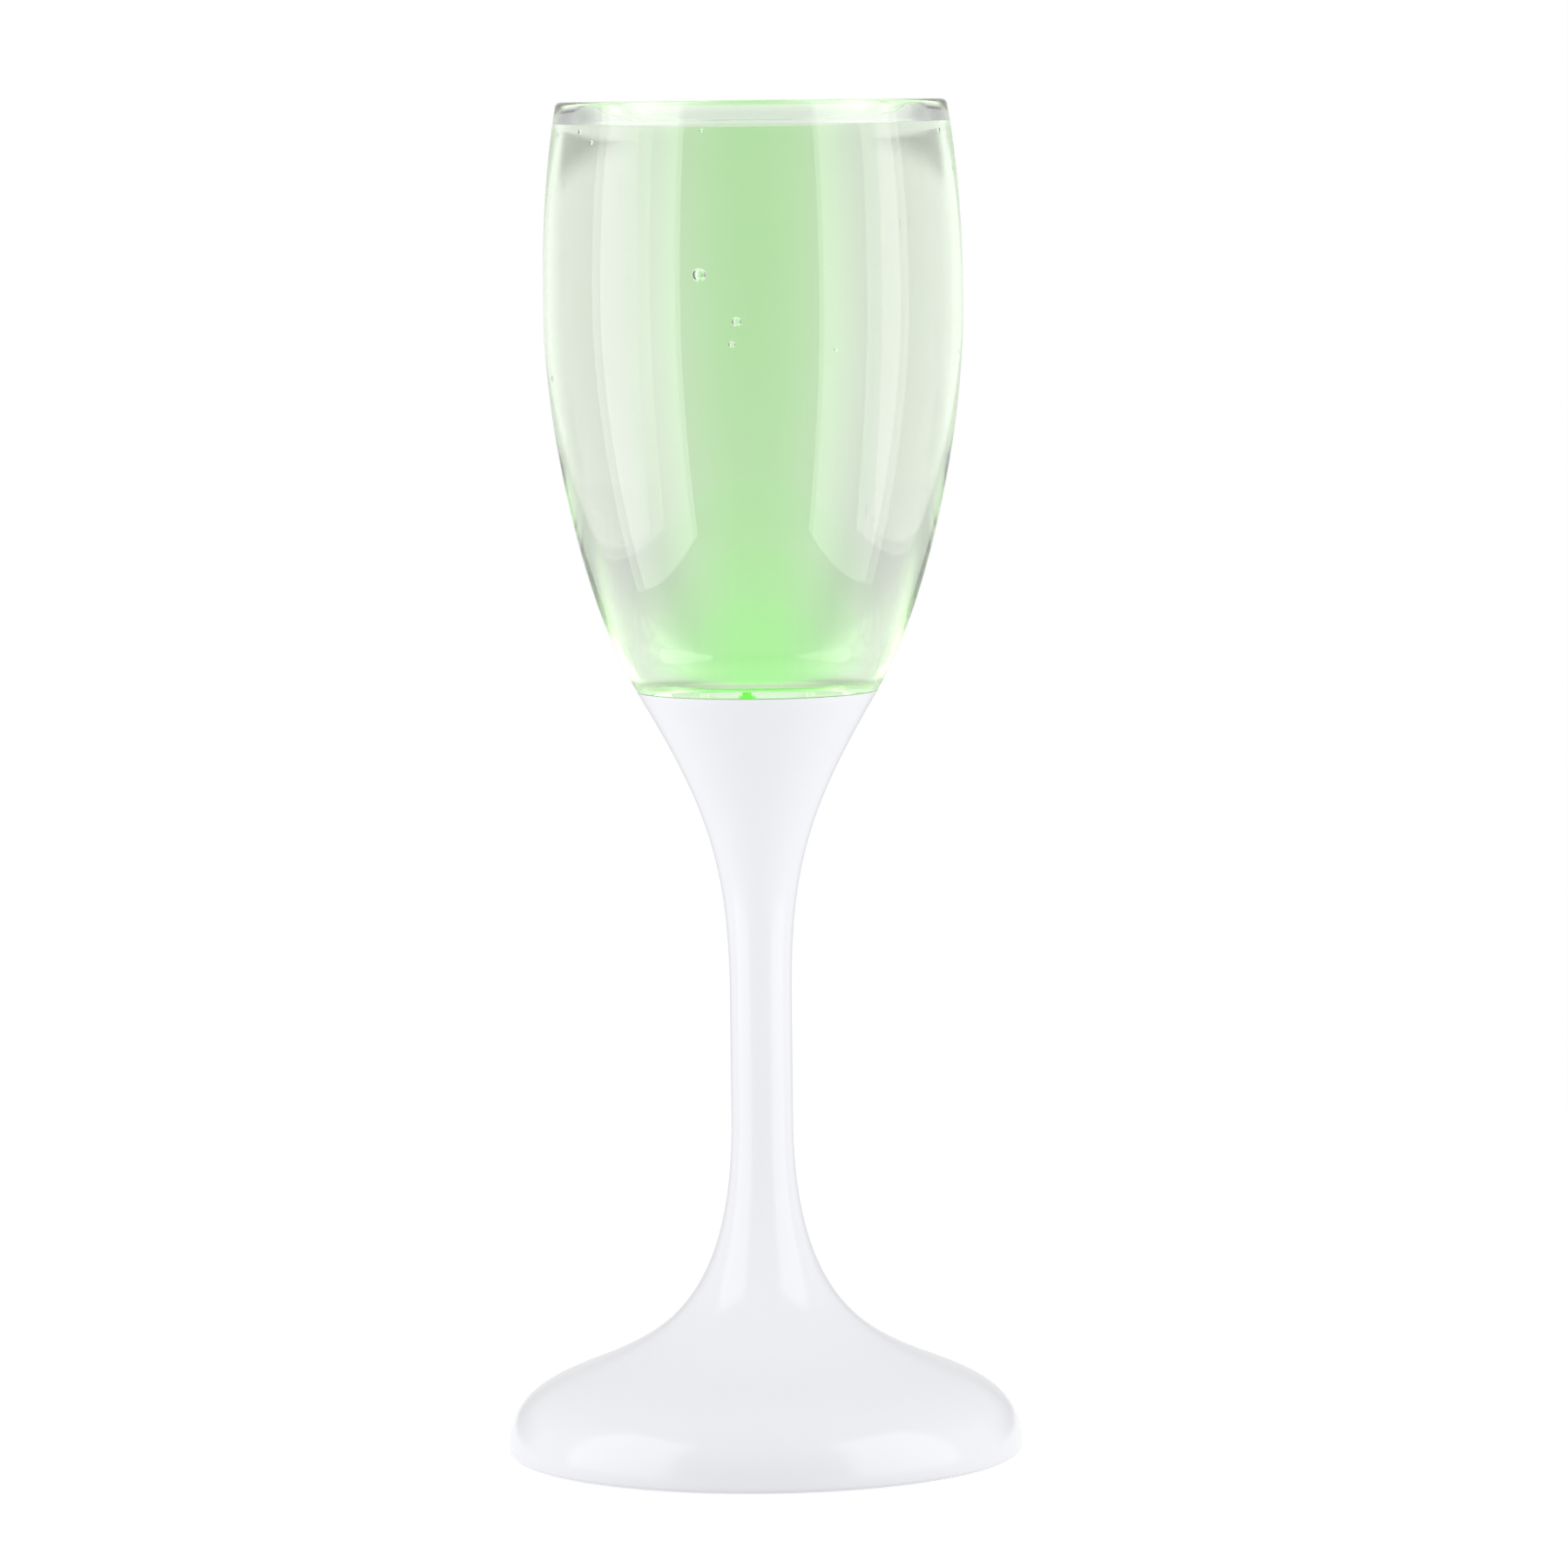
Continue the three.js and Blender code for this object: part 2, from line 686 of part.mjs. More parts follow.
// Places a mesh at a radius and an angle round the Z axis
function place(mesh, radius, angle, z) {
  mesh.position.set(radius * Math.cos(angle), radius * Math.sin(angle), z);
}

// Bowl, which lifts off the stem as it is unscrewed
const cup = new THREE.Group();
add(cup, 'bowl', bowl(), clearPlastic);
add(cup, 'bowl_seal', bowlSeal(), clearSilicone);
flute.add(cup);

// Stem with the lamp at its top
const stem = new THREE.Group();
add(stem, 'stem_shell', stemShell(), whitePlastic);
add(stem, 'led_reflector', ledReflector(), whitePlastic);
add(stem, 'led', led(), lampResin);
add(stem, 'led_board', ledBoard(), boardGreen);
['common', 'red', 'green', 'blue'].forEach((name, index) => {
  const colors = { common: 0x202124, red: 0xc2332b, green: 0x2f9a48, blue: 0x2b55b8 };
  add(stem, `wire_${name}`, wire(index), finish(colors[name], 0.5));
});
flute.add(stem);

// Cells with their tray and contacts
const power = new THREE.Group();
add(power, 'battery_tray', batteryTray(), trayPlastic);
cellAngles.forEach((angle, index) => {
  const upright = index === 1;
  const mesh = add(power, `cell_${index + 1}`, cell(), steel);
  place(mesh, cellRing, angle, upright ? cellBottom : cellTop);
  if (!upright) mesh.rotation.x = Math.PI;
});
add(power, 'contact_positive', contactStrip(positiveLeg, cellTop), nickel).rotation.z = cellAngles[0];
add(power, 'link_bottom', link(coverTop), nickel).rotation.z = linkAngle(0, 1);
add(power, 'link_top', link(cellTop), nickel).rotation.z = linkAngle(1, 2);
add(power, 'contact_negative', contactStrip(negativeLeg, coverTop), nickel).rotation.z = cellAngles[2];
screwAngles.forEach((angle, index) => {
  const mesh = add(power, `tray_screw_${index + 1}`, screw(trayScrewLength), steel);
  place(mesh, trayScrewRing, angle, plateBottom);
});
flute.add(power);

// Switching board
const control = new THREE.Group();
add(control, 'circuit_board', circuitBoard(), boardGreen);
const chip = add(control, 'control_chip', block(chipWidth, chipDepth, 0, chipHeight), chipBlack);
chip.position.set(0, chipPlace, boardTop);
['red', 'green', 'blue'].forEach((name, index) => {
  const geometry = block(resistorWidth, resistorDepth, 0, resistorHeight);
  const mesh = add(control, `resistor_${name}`, geometry, chipBlack);
  mesh.position.set(-resistorPlace, (index - 1) * resistorPitch, boardTop);
});
add(control, 'tact_switch', tactSwitch(), chipBlack);
flute.add(control);

// Push button and the switch plunger that it works
const button = new THREE.Group();
add(button, 'push_button', pushButton(), buttonPlastic);
add(button, 'tact_plunger', tactPlunger(), chipBlack);
flute.add(button);

// Underside
const underside = new THREE.Group();
add(underside, 'base_cover', baseCover(), whitePlastic);
add(underside, 'base_seal', baseSeal(), sealGrey);
screwAngles.forEach((angle, index) => {
  const mesh = add(underside, `cover_screw_${index + 1}`, screw(coverScrewLength), steel);
  place(mesh, coverScrewRing, angle, coverRecess + screwHeadHeight);
});
flute.add(underside);

export default flute;
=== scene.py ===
import math

import bmesh
import bpy
from mathutils import Matrix, Vector
from mathutils.geometry import interpolate_bezier


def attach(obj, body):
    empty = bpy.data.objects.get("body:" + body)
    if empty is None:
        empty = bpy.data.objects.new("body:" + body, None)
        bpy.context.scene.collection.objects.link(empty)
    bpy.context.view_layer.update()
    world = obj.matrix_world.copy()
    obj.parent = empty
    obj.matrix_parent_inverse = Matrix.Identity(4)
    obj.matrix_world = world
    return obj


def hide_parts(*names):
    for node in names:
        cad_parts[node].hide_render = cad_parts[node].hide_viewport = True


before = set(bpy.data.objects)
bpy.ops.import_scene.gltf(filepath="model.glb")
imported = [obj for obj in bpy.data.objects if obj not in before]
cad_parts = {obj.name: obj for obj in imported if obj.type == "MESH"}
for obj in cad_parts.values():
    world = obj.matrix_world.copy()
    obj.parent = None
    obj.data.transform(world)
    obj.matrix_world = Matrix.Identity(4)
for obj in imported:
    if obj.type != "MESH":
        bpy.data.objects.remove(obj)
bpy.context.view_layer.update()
scene = bpy.context.scene
scene.view_settings.view_transform = "Standard"
scene.cycles.max_bounces = 64
scene.cycles.transmission_bounces = 64
scene.cycles.glossy_bounces = 64
scene.cycles.caustics_reflective = False
unit = 0.001  # outlines below are in millimetres
fullTurn = 2 * math.pi


def addObject(name, data):
    thing = bpy.data.objects.new(name, data)
    scene.collection.objects.link(thing)
    return thing


# Camera
cameraFacts = {
    "lens": 184.5,  # on a 36 mm sensor
    "away": 1.24,
    "up": 0.2115,
    "aside": 0.00395,
    "tilt": 4.935,  # degrees down
    "roll": 0.6255,
}


def placeCamera(facts):
    data = bpy.data.cameras.new("camera")
    data.lens = facts["lens"]
    data.sensor_width = 36
    data.clip_end = 100
    camera = addObject("camera", data)
    tilt = Matrix.Rotation(math.radians(90 - facts["tilt"]), 4, "X")
    roll = Matrix.Rotation(math.radians(-facts["roll"]), 4, "Z")
    stand = Matrix.Translation((facts["aside"], -facts["away"], facts["up"]))
    camera.matrix_world = stand @ tilt @ roll
    scene.camera = camera


placeCamera(cameraFacts)
print("camera placed")


# Node trees: a socket, with sums on it that add Math nodes
def pick(sockets, key):
    if isinstance(key, int):
        return sockets[key]
    return next(socket for socket in sockets if key in (socket.identifier, socket.name))


class Flow:
    def __init__(self, tree, socket=None):
        self.tree = tree
        self.socket = socket

    # Any node: its settings first, then the values or links of its sockets
    def add(self, kind, sockets=None, out=0, **settings):
        node = self.tree.nodes.new(kind)
        for name, value in settings.items():
            setattr(node, name, value)
        for key, value in (sockets or {}).items():
            if isinstance(value, Flow):
                self.tree.links.new(value.socket, pick(node.inputs, key))
            else:
                pick(node.inputs, key).default_value = value
        return Flow(self.tree, pick(node.outputs, out) if len(node.outputs) else None)

    # Another output of the same node
    def other(self, key):
        return Flow(self.tree, pick(self.socket.node.outputs, key))

    def sum(self, operation, first, second=None):
        sides = [side for side in (first, second) if side is not None]
        vector = any(isinstance(side, Flow) and side.socket.type in ("VECTOR", "RGBA") for side in sides)
        if vector:
            sides = [(side,) * 3 if isinstance(side, (int, float)) else side for side in sides]
        kind = "ShaderNodeVectorMath" if vector else "ShaderNodeMath"
        return self.add(kind, dict(enumerate(sides)), operation=operation)

    def part(self, axis):
        return self.add("ShaderNodeSeparateXYZ", {"Vector": self}, axis)

    # 0 below low, 1 above high, eased between
    def step(self, low, high):
        sockets = {"Value": self, "From Min": low, "From Max": high}
        return self.add("ShaderNodeMapRange", sockets, "Result", interpolation_type="SMOOTHSTEP")

    def __add__(self, other):
        return self.sum("ADD", self, other)

    def __radd__(self, other):
        return self.sum("ADD", other, self)

    def __sub__(self, other):
        return self.sum("SUBTRACT", self, other)

    def __rsub__(self, other):
        return self.sum("SUBTRACT", other, self)

    def __mul__(self, other):
        return self.sum("MULTIPLY", self, other)

    def __rmul__(self, other):
        return self.sum("MULTIPLY", other, self)

    def __truediv__(self, other):
        return self.sum("DIVIDE", self, other)

    def __rtruediv__(self, other):
        return self.sum("DIVIDE", other, self)

    def __gt__(self, other):
        return self.sum("GREATER_THAN", self, other)


# Finishes
def makeFinish(name, fixed, vary):
    material = bpy.data.materials.new(name)
    material.use_nodes = True
    material.cycles.emission_sampling = "NONE"  # faint glows, not lamps
    tree = material.node_tree
    shader = tree.nodes["Principled BSDF"]
    for key, value in fixed.items():
        shader.inputs[key].default_value = value
    start = Flow(tree)
    place = start.add("ShaderNodeTexCoord", out="Object")
    for key, flow in vary(start, place).items():
        tree.links.new(flow.socket, shader.inputs[key])
    return material


def noise(start, place, scale, detail=3):
    sockets = {"Vector": place, "Scale": scale, "Detail": detail}
    return start.add("ShaderNodeTexNoise", sockets, "Fac")


def mix(start, factor, first, second):
    sides = {"Factor_Float": factor}
    for key, side in (("A_Color", first), ("B_Color", second)):
        sides[key] = side if isinstance(side, Flow) else (*side, 1)
    return start.add("ShaderNodeMix", sides, "Result_Color", data_type="RGBA")


def bump(start, height, strength, depth):
    sockets = {"Height": height, "Strength": strength, "Distance": depth}
    return start.add("ShaderNodeBump", sockets, "Normal")


# Moulded plastic: a cloudy colour, a polish that comes and goes, and a fine skin
def moulded(light, dark, polish, skin, grain=900, depth=0.00004):
    def vary(start, place):
        cloud = noise(start, place, 70, 2)
        fine = noise(start, place, grain, 4)
        return {
            "Base Color": mix(start, cloud, dark, light),
            "Roughness": polish + 0.08 * noise(start, place, 160),
            "Normal": bump(start, fine, skin, depth),
        }

    return vary


# Metal: fine turned or rolled lines along one axis, with a duller film here and there
def worked(light, dark, polish, squeeze):
    def vary(start, place):
        drawn = start.add("ShaderNodeMapping", {"Vector": place, "Scale": squeeze}, "Vector")
        lines = noise(start, drawn, 1500, 2)
        film = noise(start, place, 260)
        return {
            "Base Color": mix(start, film, dark, light),
            "Roughness": polish + 0.16 * lines,
            "Normal": bump(start, lines, 0.08, 0.00003),
        }

    return vary


# Clear plastic of the bowl: spans of height in metres, with their tints and faint glows, which are
# painted shade and painted lamp light
skinFacts = {
    "rim": (0.2062, 0.2075),
    # the rim's darker green tint is painted shade
    "rimPaintedShade": (0.895, 0.93, 0.885),
    "top": (0.2078, 0.2096),  # painted lamp light, a faint glow where it leaves at the rim
    "topPaintedGlow": (0.06, 0.06, 0.057),
    "floor": (0.1204, 0.1225),  # painted green lamp light that gathers in the floor
    "floorPaintedLampTint": (0.84, 0.965, 0.76),
    # painted green lamp glow on the bowl below its seat
    "seat": (0.1185, 0.1212),
    "seatPaintedGlow": (0.04, 0.1, 0.035),
    "polish": 0.012,
}


def clearSkinWithPaintedLight(start, place):
    height = place.part("Z")
    rim = height.step(*skinFacts["rim"])
    top = height.step(*skinFacts["top"])
    seat = 1 - height.step(*skinFacts["seat"])
    floor = 1 - height.step(*skinFacts["floor"])
    haze = noise(start, place, 45, 2)
    clear = mix(start, haze, (0.985, 0.992, 0.985), (1, 1, 1))
    clear = mix(start, floor, clear, skinFacts["floorPaintedLampTint"])
    glow = mix(start, top, (0, 0, 0), skinFacts["topPaintedGlow"])
    # painted shade on the rim, painted green lamp light in the floor, and painted lamp glows at the top
    # and below the seat
    return {
        "Base Color": mix(start, rim, clear, skinFacts["rimPaintedShade"]),
        "Emission Color": mix(start, seat, glow, skinFacts["seatPaintedGlow"]),
        "Roughness": skinFacts["polish"] * noise(start, place, 120).step(0.45, 0.75),
    }


def laminate(start, place):
    threads = {"Vector": place, "Scale": 900}
    weave = start.add("ShaderNodeTexWave", threads, "Fac", bands_direction="X")
    copper = {"Vector": place, "Scale": 260, "Mortar Size": 0.03}
    tracks = start.add("ShaderNodeTexBrick", copper, "Fac", offset=0.3)
    board = mix(start, weave, (0.012, 0.1, 0.035), (0.016, 0.125, 0.045))
    return {
        "Base Color": mix(start, tracks, board, (0.03, 0.19, 0.07)),
        "Roughness": 0.35 + 0.15 * noise(start, place, 500),
        "Normal": bump(start, tracks, 0.2, 0.00003),
    }


# Light and dark colour, polish, strength of the skin, its grain and its depth
plasticLooks = {
    "clear_silicone": [(0.9, 0.92, 0.9), (0.82, 0.85, 0.82), 0.35, 0.1],
    "white_shell": [(0.86, 0.865, 0.9), (0.85, 0.855, 0.89), 0.15, 0.015],
    "tray_plastic": [(0.74, 0.75, 0.77), (0.68, 0.69, 0.72), 0.42, 0.25, 1600],
    "cover_plastic": [(0.82, 0.825, 0.86), (0.77, 0.775, 0.81), 0.42, 0.35, 2600, 0.00008],
    "button_plastic": [(0.68, 0.71, 0.76), (0.62, 0.65, 0.71), 0.3, 0.15, 2000],
    "seal_grey": [(0.32, 0.34, 0.36), (0.25, 0.27, 0.29), 0.6, 0.3, 1400],
    "chip_black": [(0.02, 0.02, 0.022), (0.011, 0.011, 0.012), 0.45, 0.4, 4000],
    "switch_black": [(0.028, 0.028, 0.03), (0.016, 0.016, 0.018), 0.35, 0.2, 3000],
    "wire_black": [(0.02, 0.02, 0.021), (0.012, 0.012, 0.013), 0.4, 0.15, 2000],
    "wire_red": [(0.55, 0.035, 0.025), (0.46, 0.025, 0.018), 0.4, 0.15, 2000],
    "wire_green": [(0.03, 0.34, 0.07), (0.022, 0.28, 0.055), 0.4, 0.15, 2000],
    "wire_blue": [(0.025, 0.09, 0.48), (0.018, 0.07, 0.4), 0.4, 0.15, 2000],
}
plasticFixed = {
    "clear_silicone": {"Transmission Weight": 0.6, "IOR": 1.41},
    "white_shell": {"IOR": 1.5, "Coat Weight": 0.15, "Coat Roughness": 0.08},
    "cover_plastic": {"IOR": 1.5},
    "button_plastic": {"IOR": 1.5},
}
# Light and dark colour, polish, and how the lines are drawn out along each axis
metalLooks = {
    "cell_steel": [(0.72, 0.73, 0.74), (0.6, 0.61, 0.62), 0.24, (1, 1, 0.05)],
    "contact_nickel": [(0.66, 0.63, 0.57), (0.55, 0.52, 0.47), 0.24, (1, 0.05, 1)],
    "screw_steel": [(0.62, 0.63, 0.65), (0.48, 0.49, 0.51), 0.22, (1, 1, 0.2)],
}


def finishName(slot):
    first, second = slot.split("_")
    return first + second.capitalize()


glass = {"Transmission Weight": 1.0, "IOR": 1.5, "Emission Strength": 1.0}
finishes = {
    "clear_bowl": makeFinish("clearBowl", glass, clearSkinWithPaintedLight),
    "board_laminate": makeFinish("boardLaminate", {}, laminate),
}
for slot, look in plasticLooks.items():
    finishes[slot] = makeFinish(finishName(slot), plasticFixed.get(slot, {}), moulded(*look))
for slot, look in metalLooks.items():
    finishes[slot] = makeFinish(finishName(slot), {"Metallic": 1.0}, worked(*look))
print("finishes:", len(finishes))


# Outlines: points of radius and height
upright = (0, 1)
offAxis = 0.01  # where a curve starts that rounds off a turned end


def bend(start, startWay, startPull, end, endWay, endPull, steps):
    first = Vector(start)
    last = Vector(end)
    leave = first + Vector(startWay).normalized() * startPull
    arrive = last - Vector(endWay).normalized() * endPull
    return interpolate_bezier(first, leave, arrive, last, steps + 1)


def roundOff(first, corner, last, steps, pull=0.55):
    return interpolate_bezier(first, first.lerp(corner, pull), last.lerp(corner, pull), last, steps + 1)


# A corner taken off in a round, between two straight stretches
def soften(before, corner, after, size, steps):
    point = Vector(corner)
    first = point + (Vector(before) - point).normalized() * size
    last = point + (Vector(after) - point).normalized() * size
    return roundOff(first, point, last, steps)


# The same line moved towards the axis by a wall's thickness
def setBack(points, wall):
    moved = []
    for index, point in enumerate(points):
        before = points[max(index - 1, 0)]
        after = points[min(index + 1, len(points) - 1)]
        along = (after - before).normalized()
        moved.append(Vector((point.x - along.y * wall, point.y + along.x * wall)))
    return moved


def straight(start, end, steps):
    return [Vector(start).lerp(Vector(end), index / steps) for index in range(steps + 1)]


def arc(across, height, radius, angles):
    return [(across + radius * math.cos(angle), height + radius * math.sin(angle)) for angle in angles]


# Outline as a chain of points in the XZ plane, with its threaded stretch marked
def outlineMesh(name, outline, threaded=()):
    mesh = bpy.data.meshes.new(name)
    points = [(point[0] * unit, 0, point[1] * unit) for point in outline]
    mesh.from_pydata(points, [(index, index + 1) for index in range(len(points) - 1)], [])
    marks = mesh.attributes.new("thread", "FLOAT", "POINT")
    for index in threaded:
        marks.data[index].value = 1
    return mesh


# Geometry Nodes
def floats(*names):
    return [(name, "Float") for name in names]


# Every tree takes an outline and a finish, with its own inputs between them
def newTree(name, *inputs):
    tree = bpy.data.node_groups.new(name, "GeometryNodeTree")
    for label, kind in (("Outline", "Geometry"), *inputs, ("Finish", "Material")):
        tree.interface.new_socket(label, in_out="INPUT", socket_type="NodeSocket" + kind)
    tree.interface.new_socket("Mesh", in_out="OUTPUT", socket_type="NodeSocketGeometry")
    return tree, Flow(tree).add("NodeGroupInput", out="Outline")


def realize(flow):
    return flow.add("GeometryNodeRealizeInstances", {"Geometry": flow})


def closeTree(start, mesh):
    sockets = {"Geometry": realize(mesh), "Material": start.other("Finish")}
    done = start.add("GeometryNodeSetMaterial", sockets)
    done.add("NodeGroupOutput", {"Mesh": done})


def smoothFaces(mesh):
    sockets = {"Geometry": mesh, "Shade Smooth": True}
    return mesh.add("GeometryNodeSetShadeSmooth", sockets, domain="FACE")


# Smooth faces that stay sharp where they fold by more than the limit
def smoothShade(mesh, limit=0.6):
    smooth = smoothFaces(mesh)
    fold = smooth.add("GeometryNodeInputMeshEdgeAngle", out="Unsigned Angle") > limit
    sockets = {"Geometry": smooth, "Selection": fold, "Shade Smooth": False}
    return smooth.add("GeometryNodeSetShadeSmooth", sockets, domain="EDGE")


def named(flow, attribute):
    return flow.add("GeometryNodeInputNamedAttribute", {"Name": attribute}, data_type="FLOAT")


def onPoints(points, instance, more=None):
    sockets = {"Points": points, "Instance": instance, **(more or {})}
    return points.add("GeometryNodeInstanceOnPoints", sockets)


def cutAway(body, tool):
    sides = {"Mesh 1": body, "Mesh 2": tool}
    return body.add("GeometryNodeMeshBoolean", sides, "Mesh", operation="DIFFERENCE", solver="EXACT")


grooveSpan = (0.14, 0.34)  # a thread's flank, as a share of its pitch


# An outline turned round the Z axis, with a screw thread cut into its marked stretch
def turnedTree():
    tree, outline = newTree("turned", ("Sides", "Int"), *floats("Thread Pitch", "Thread Depth"))
    columns = outline.other("Sides") + 1
    rows = outline.add("GeometryNodeAttributeDomainSize", {"Geometry": outline}, "Point Count")
    sheet = {"Size X": 1.0, "Size Y": 1.0, "Vertices X": columns, "Vertices Y": rows}
    grid = outline.add("GeometryNodeMeshGrid", sheet, "Mesh")
    spot = outline.add("GeometryNodeInputPosition")
    across = spot.part("X") + 0.5
    row = outline.sum("ROUND", (spot.part("Y") + 0.5) * (rows - 1))

    def sample(kind, value):
        sockets = {"Geometry": outline, "Value": value, "Index": row}
        return outline.add("GeometryNodeSampleIndex", sockets, data_type=kind, domain="POINT")

    point = sample("FLOAT_VECTOR", spot)
    mark = sample("FLOAT", named(outline, "thread"))
    height = point.part("Z")
    phase = outline.sum("FRACT", height / outline.other("Thread Pitch") - across)
    groove = outline.sum("ABSOLUTE", phase - 0.5).step(*grooveSpan)
    radius = point.part("X") - mark * groove * outline.other("Thread Depth")
    angle = across * fullTurn
    around = {
        "X": radius * outline.sum("COSINE", angle),
        "Y": radius * outline.sum("SINE", angle),
        "Z": height,
    }
    place = outline.add("ShaderNodeCombineXYZ", around)
    shell = outline.add("GeometryNodeSetPosition", {"Geometry": grid, "Position": place})
    weld = {"Geometry": shell, "Distance": 0.000002}
    whole = outline.add("GeometryNodeMergeByDistance", weld)
    closeTree(outline, smoothShade(whole))
    return tree


turned = turnedTree()
noThread = {"Thread Pitch": 0.003}  # a pitch that nothing is cut to


# The turned tree inside another one
def turnInside(outline, thread):
    sockets = {"Outline": outline, "Sides": outline.other("Sides"), **thread}
    return outline.add("GeometryNodeGroup", sockets, "Mesh", node_tree=turned)


# Runs a tree on a mesh and keeps its result as a plain mesh
def bake(name, mesh, tree, values):
    piece = addObject(name, mesh)
    modifier = piece.modifiers.new("shape", "NODES")
    modifier.node_group = tree
    for item in tree.interface.items_tree:
        if item.in_out == "INPUT" and item.name in values:
            modifier[item.identifier] = values[item.name]
    graph = bpy.context.evaluated_depsgraph_get()
    made = bpy.data.meshes.new_from_object(piece.evaluated_get(graph))
    piece.modifiers.remove(modifier)
    piece.data = made
    made.name = name
    return piece


def turn(name, outline, finish, sides, threaded=(), pitch=3.0, depth=0.0):
    values = {
        "Sides": sides,
        "Thread Pitch": pitch * unit,
        "Thread Depth": depth * unit,
        "Finish": finish,
    }
    return bake(name, outlineMesh(name, outline, threaded), turned, values)


def fit(piece, body, slot, *nodes):
    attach(piece, body)
    if nodes:
        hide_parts(*nodes)
    return piece


# Places on a ring round the Z axis
def ringPoints(flow, height):
    sockets = {"Vertices": flow.other("Count"), "Radius": flow.other("Ring Radius")}
    circle = flow.add("GeometryNodeMeshCircle", sockets, "Mesh")
    turnBy = flow.add("ShaderNodeCombineXYZ", {"Z": flow.other("First Angle")})
    moveBy = flow.add("ShaderNodeCombineXYZ", {"Z": height})
    sockets = {"Geometry": circle, "Rotation": turnBy, "Translation": moveBy}
    return flow.add("GeometryNodeTransform", sockets)


ringInputs = [("Sides", "Int"), ("Count", "Int"), *floats("Ring Radius", "First Angle")]
threeRound = {"Count": 3, "First Angle": math.radians(30)}


def meshOf(name, shape):
    mesh = bpy.data.meshes.new(name)
    shape.to_mesh(mesh)
    shape.free()
    return mesh


# Adds a mesh to a piece's own, in another finish where one is given
def weldOn(piece, extra, finish=None):
    whole = bmesh.new()
    whole.from_mesh(piece.data)
    before = len(whole.faces)
    whole.from_mesh(extra)
    if finish:
        piece.data.materials.append(finish)
        whole.faces.ensure_lookup_table()
        for face in whole.faces[before:]:
            face.material_index = len(piece.data.materials) - 1
    whole.to_mesh(piece.data)
    whole.free()
    bpy.data.meshes.remove(extra)


# Bowl
bowlFacts = {
    "height": 210,
    "rimRadius": 30.2,
    "rimRound": 0.9,
    "rimWay": (-0.166, 1),
    "rimPull": 10.2,
    "belly": (32.4, 178.6),  # radius and height
    "bellyPulls": (19.6, 11),
    "edge": (18.7, 119.1),  # lower edge, at the seam
    "edgeWay": (0.6, 1),
    "edgePull": 14.9,
    "seat": 117.9,  # the foot sits inside the cup's lip
    "footBottom": 16.38,
    "footTop": 17.1,
    "wall": 3,
    "floor": 3,
    "fillet": 5,
    "spigotRadius": 11.2,
    "spigotBore": 9.2,
    "spigotEnd": 111.1,
    "spigotChamfer": (0.5, 0.6),
    "footRound": 0.3,
    "edgeRound": 0.08,
    "threadStop": 0.5,  # short of the seat
    "threadSteps": 44,
    "thread": (3.0, 0.7),  # pitch and depth
    "sides": 180,
}


def bowlSide(facts):
    edge = facts["edge"]
    belly = facts["belly"]
    below, above = facts["bellyPulls"]
    rim = (facts["rimRadius"], facts["height"] - facts["rimRound"])
    side = bend(edge, facts["edgeWay"], facts["edgePull"], belly, upright, below, 40)
    lip = bend(belly, upright, above, rim, facts["rimWay"], facts["rimPull"], 18)
    return side + lip[1:]


def floorHeight(facts):
    return facts["seat"] + facts["floor"]


# Inner face of the wall down to the floor, or a little way into them where asked
def bowlInside(facts, into=0.0):
    floorTop = floorHeight(facts)
    side = setBack(bowlSide(facts), facts["wall"] - into)
    inner = [point for point in side if point.y > floorTop + facts["fillet"]]
    foot = inner[0]
    edge = Vector((foot.x - facts["fillet"], floorTop - into))
    corner = Vector((foot.x - facts["fillet"] / 4, floorTop - into))
    fillet = roundOff(edge, corner, foot, 12, 0.667)
    return fillet[:-1] + inner


def makeBowl(facts):
    seat = facts["seat"]
    outer = bowlSide(facts)
    inner = bowlInside(facts)
    topHeight = facts["height"]
    lip = outer[-1]
    inLip = inner[-1]
    rimRound = facts["rimRound"]
    over = soften(lip, (lip.x, topHeight), (lip.x - rimRound, topHeight), rimRound, 6)
    under = soften((inLip.x + rimRound, topHeight), (inLip.x, topHeight), inLip, rimRound, 6)
    spigot = facts["spigotRadius"]
    end = facts["spigotEnd"]
    bore = facts["spigotBore"]
    inset, rise = facts["spigotChamfer"]
    stop = seat - facts["threadStop"]
    wall = straight((spigot, end + rise), (spigot, stop), facts["threadSteps"])
    start = [(0, seat), (bore, seat), (bore, end), (spigot - inset, end)]
    footTop = (facts["footTop"], facts["edge"][1])
    foot = soften((spigot, seat), (facts["footBottom"], seat), footTop, facts["footRound"], 3)
    edge = soften(footTop, facts["edge"], outer[1], facts["edgeRound"], 3)
    outline = [*start, *wall, (spigot, seat), *foot, footTop, *edge, *outer[1:], *over[1:]]
    outline += [*under, *reversed(inner[:-1]), (0, floorHeight(facts))]
    threaded = range(len(start) + 2, len(start) + len(wall) - 2)
    finish = finishes["clear_bowl"]
    return turn("bowl", outline, finish, facts["sides"], threaded, *facts["thread"])


bowl = fit(makeBowl(bowlFacts), "bowl", "clear_bowl", "bowl")
print("bowl:", len(bowl.data.polygons), "faces")


# The mark that the moulding gate leaves under the floor, a little off the middle, with painted green
# lamp light as its colour and glow
gateFacts = {
    "radius": 0.95,
    "waist": 0.5,
    "drop": 0.5,
    "aside": -1.1,
    "round": 0.12,
    "root": 0.9,
    "neck": (0.35, 0.5),  # from either end
}


# green colour and glow painted on the gate mark as lamp light
def gatePaintedGlow(start, place):
    cloud = noise(start, place, 900)
    return {
        "Base Color": mix(start, cloud, (0.03, 0.42, 0.02), (0.06, 0.55, 0.04)),
        "Roughness": 0.12 + 0.1 * cloud,
        "Emission Color": mix(start, cloud, (0.085, 0.46, 0.0), (0.11, 0.54, 0.004)),
    }


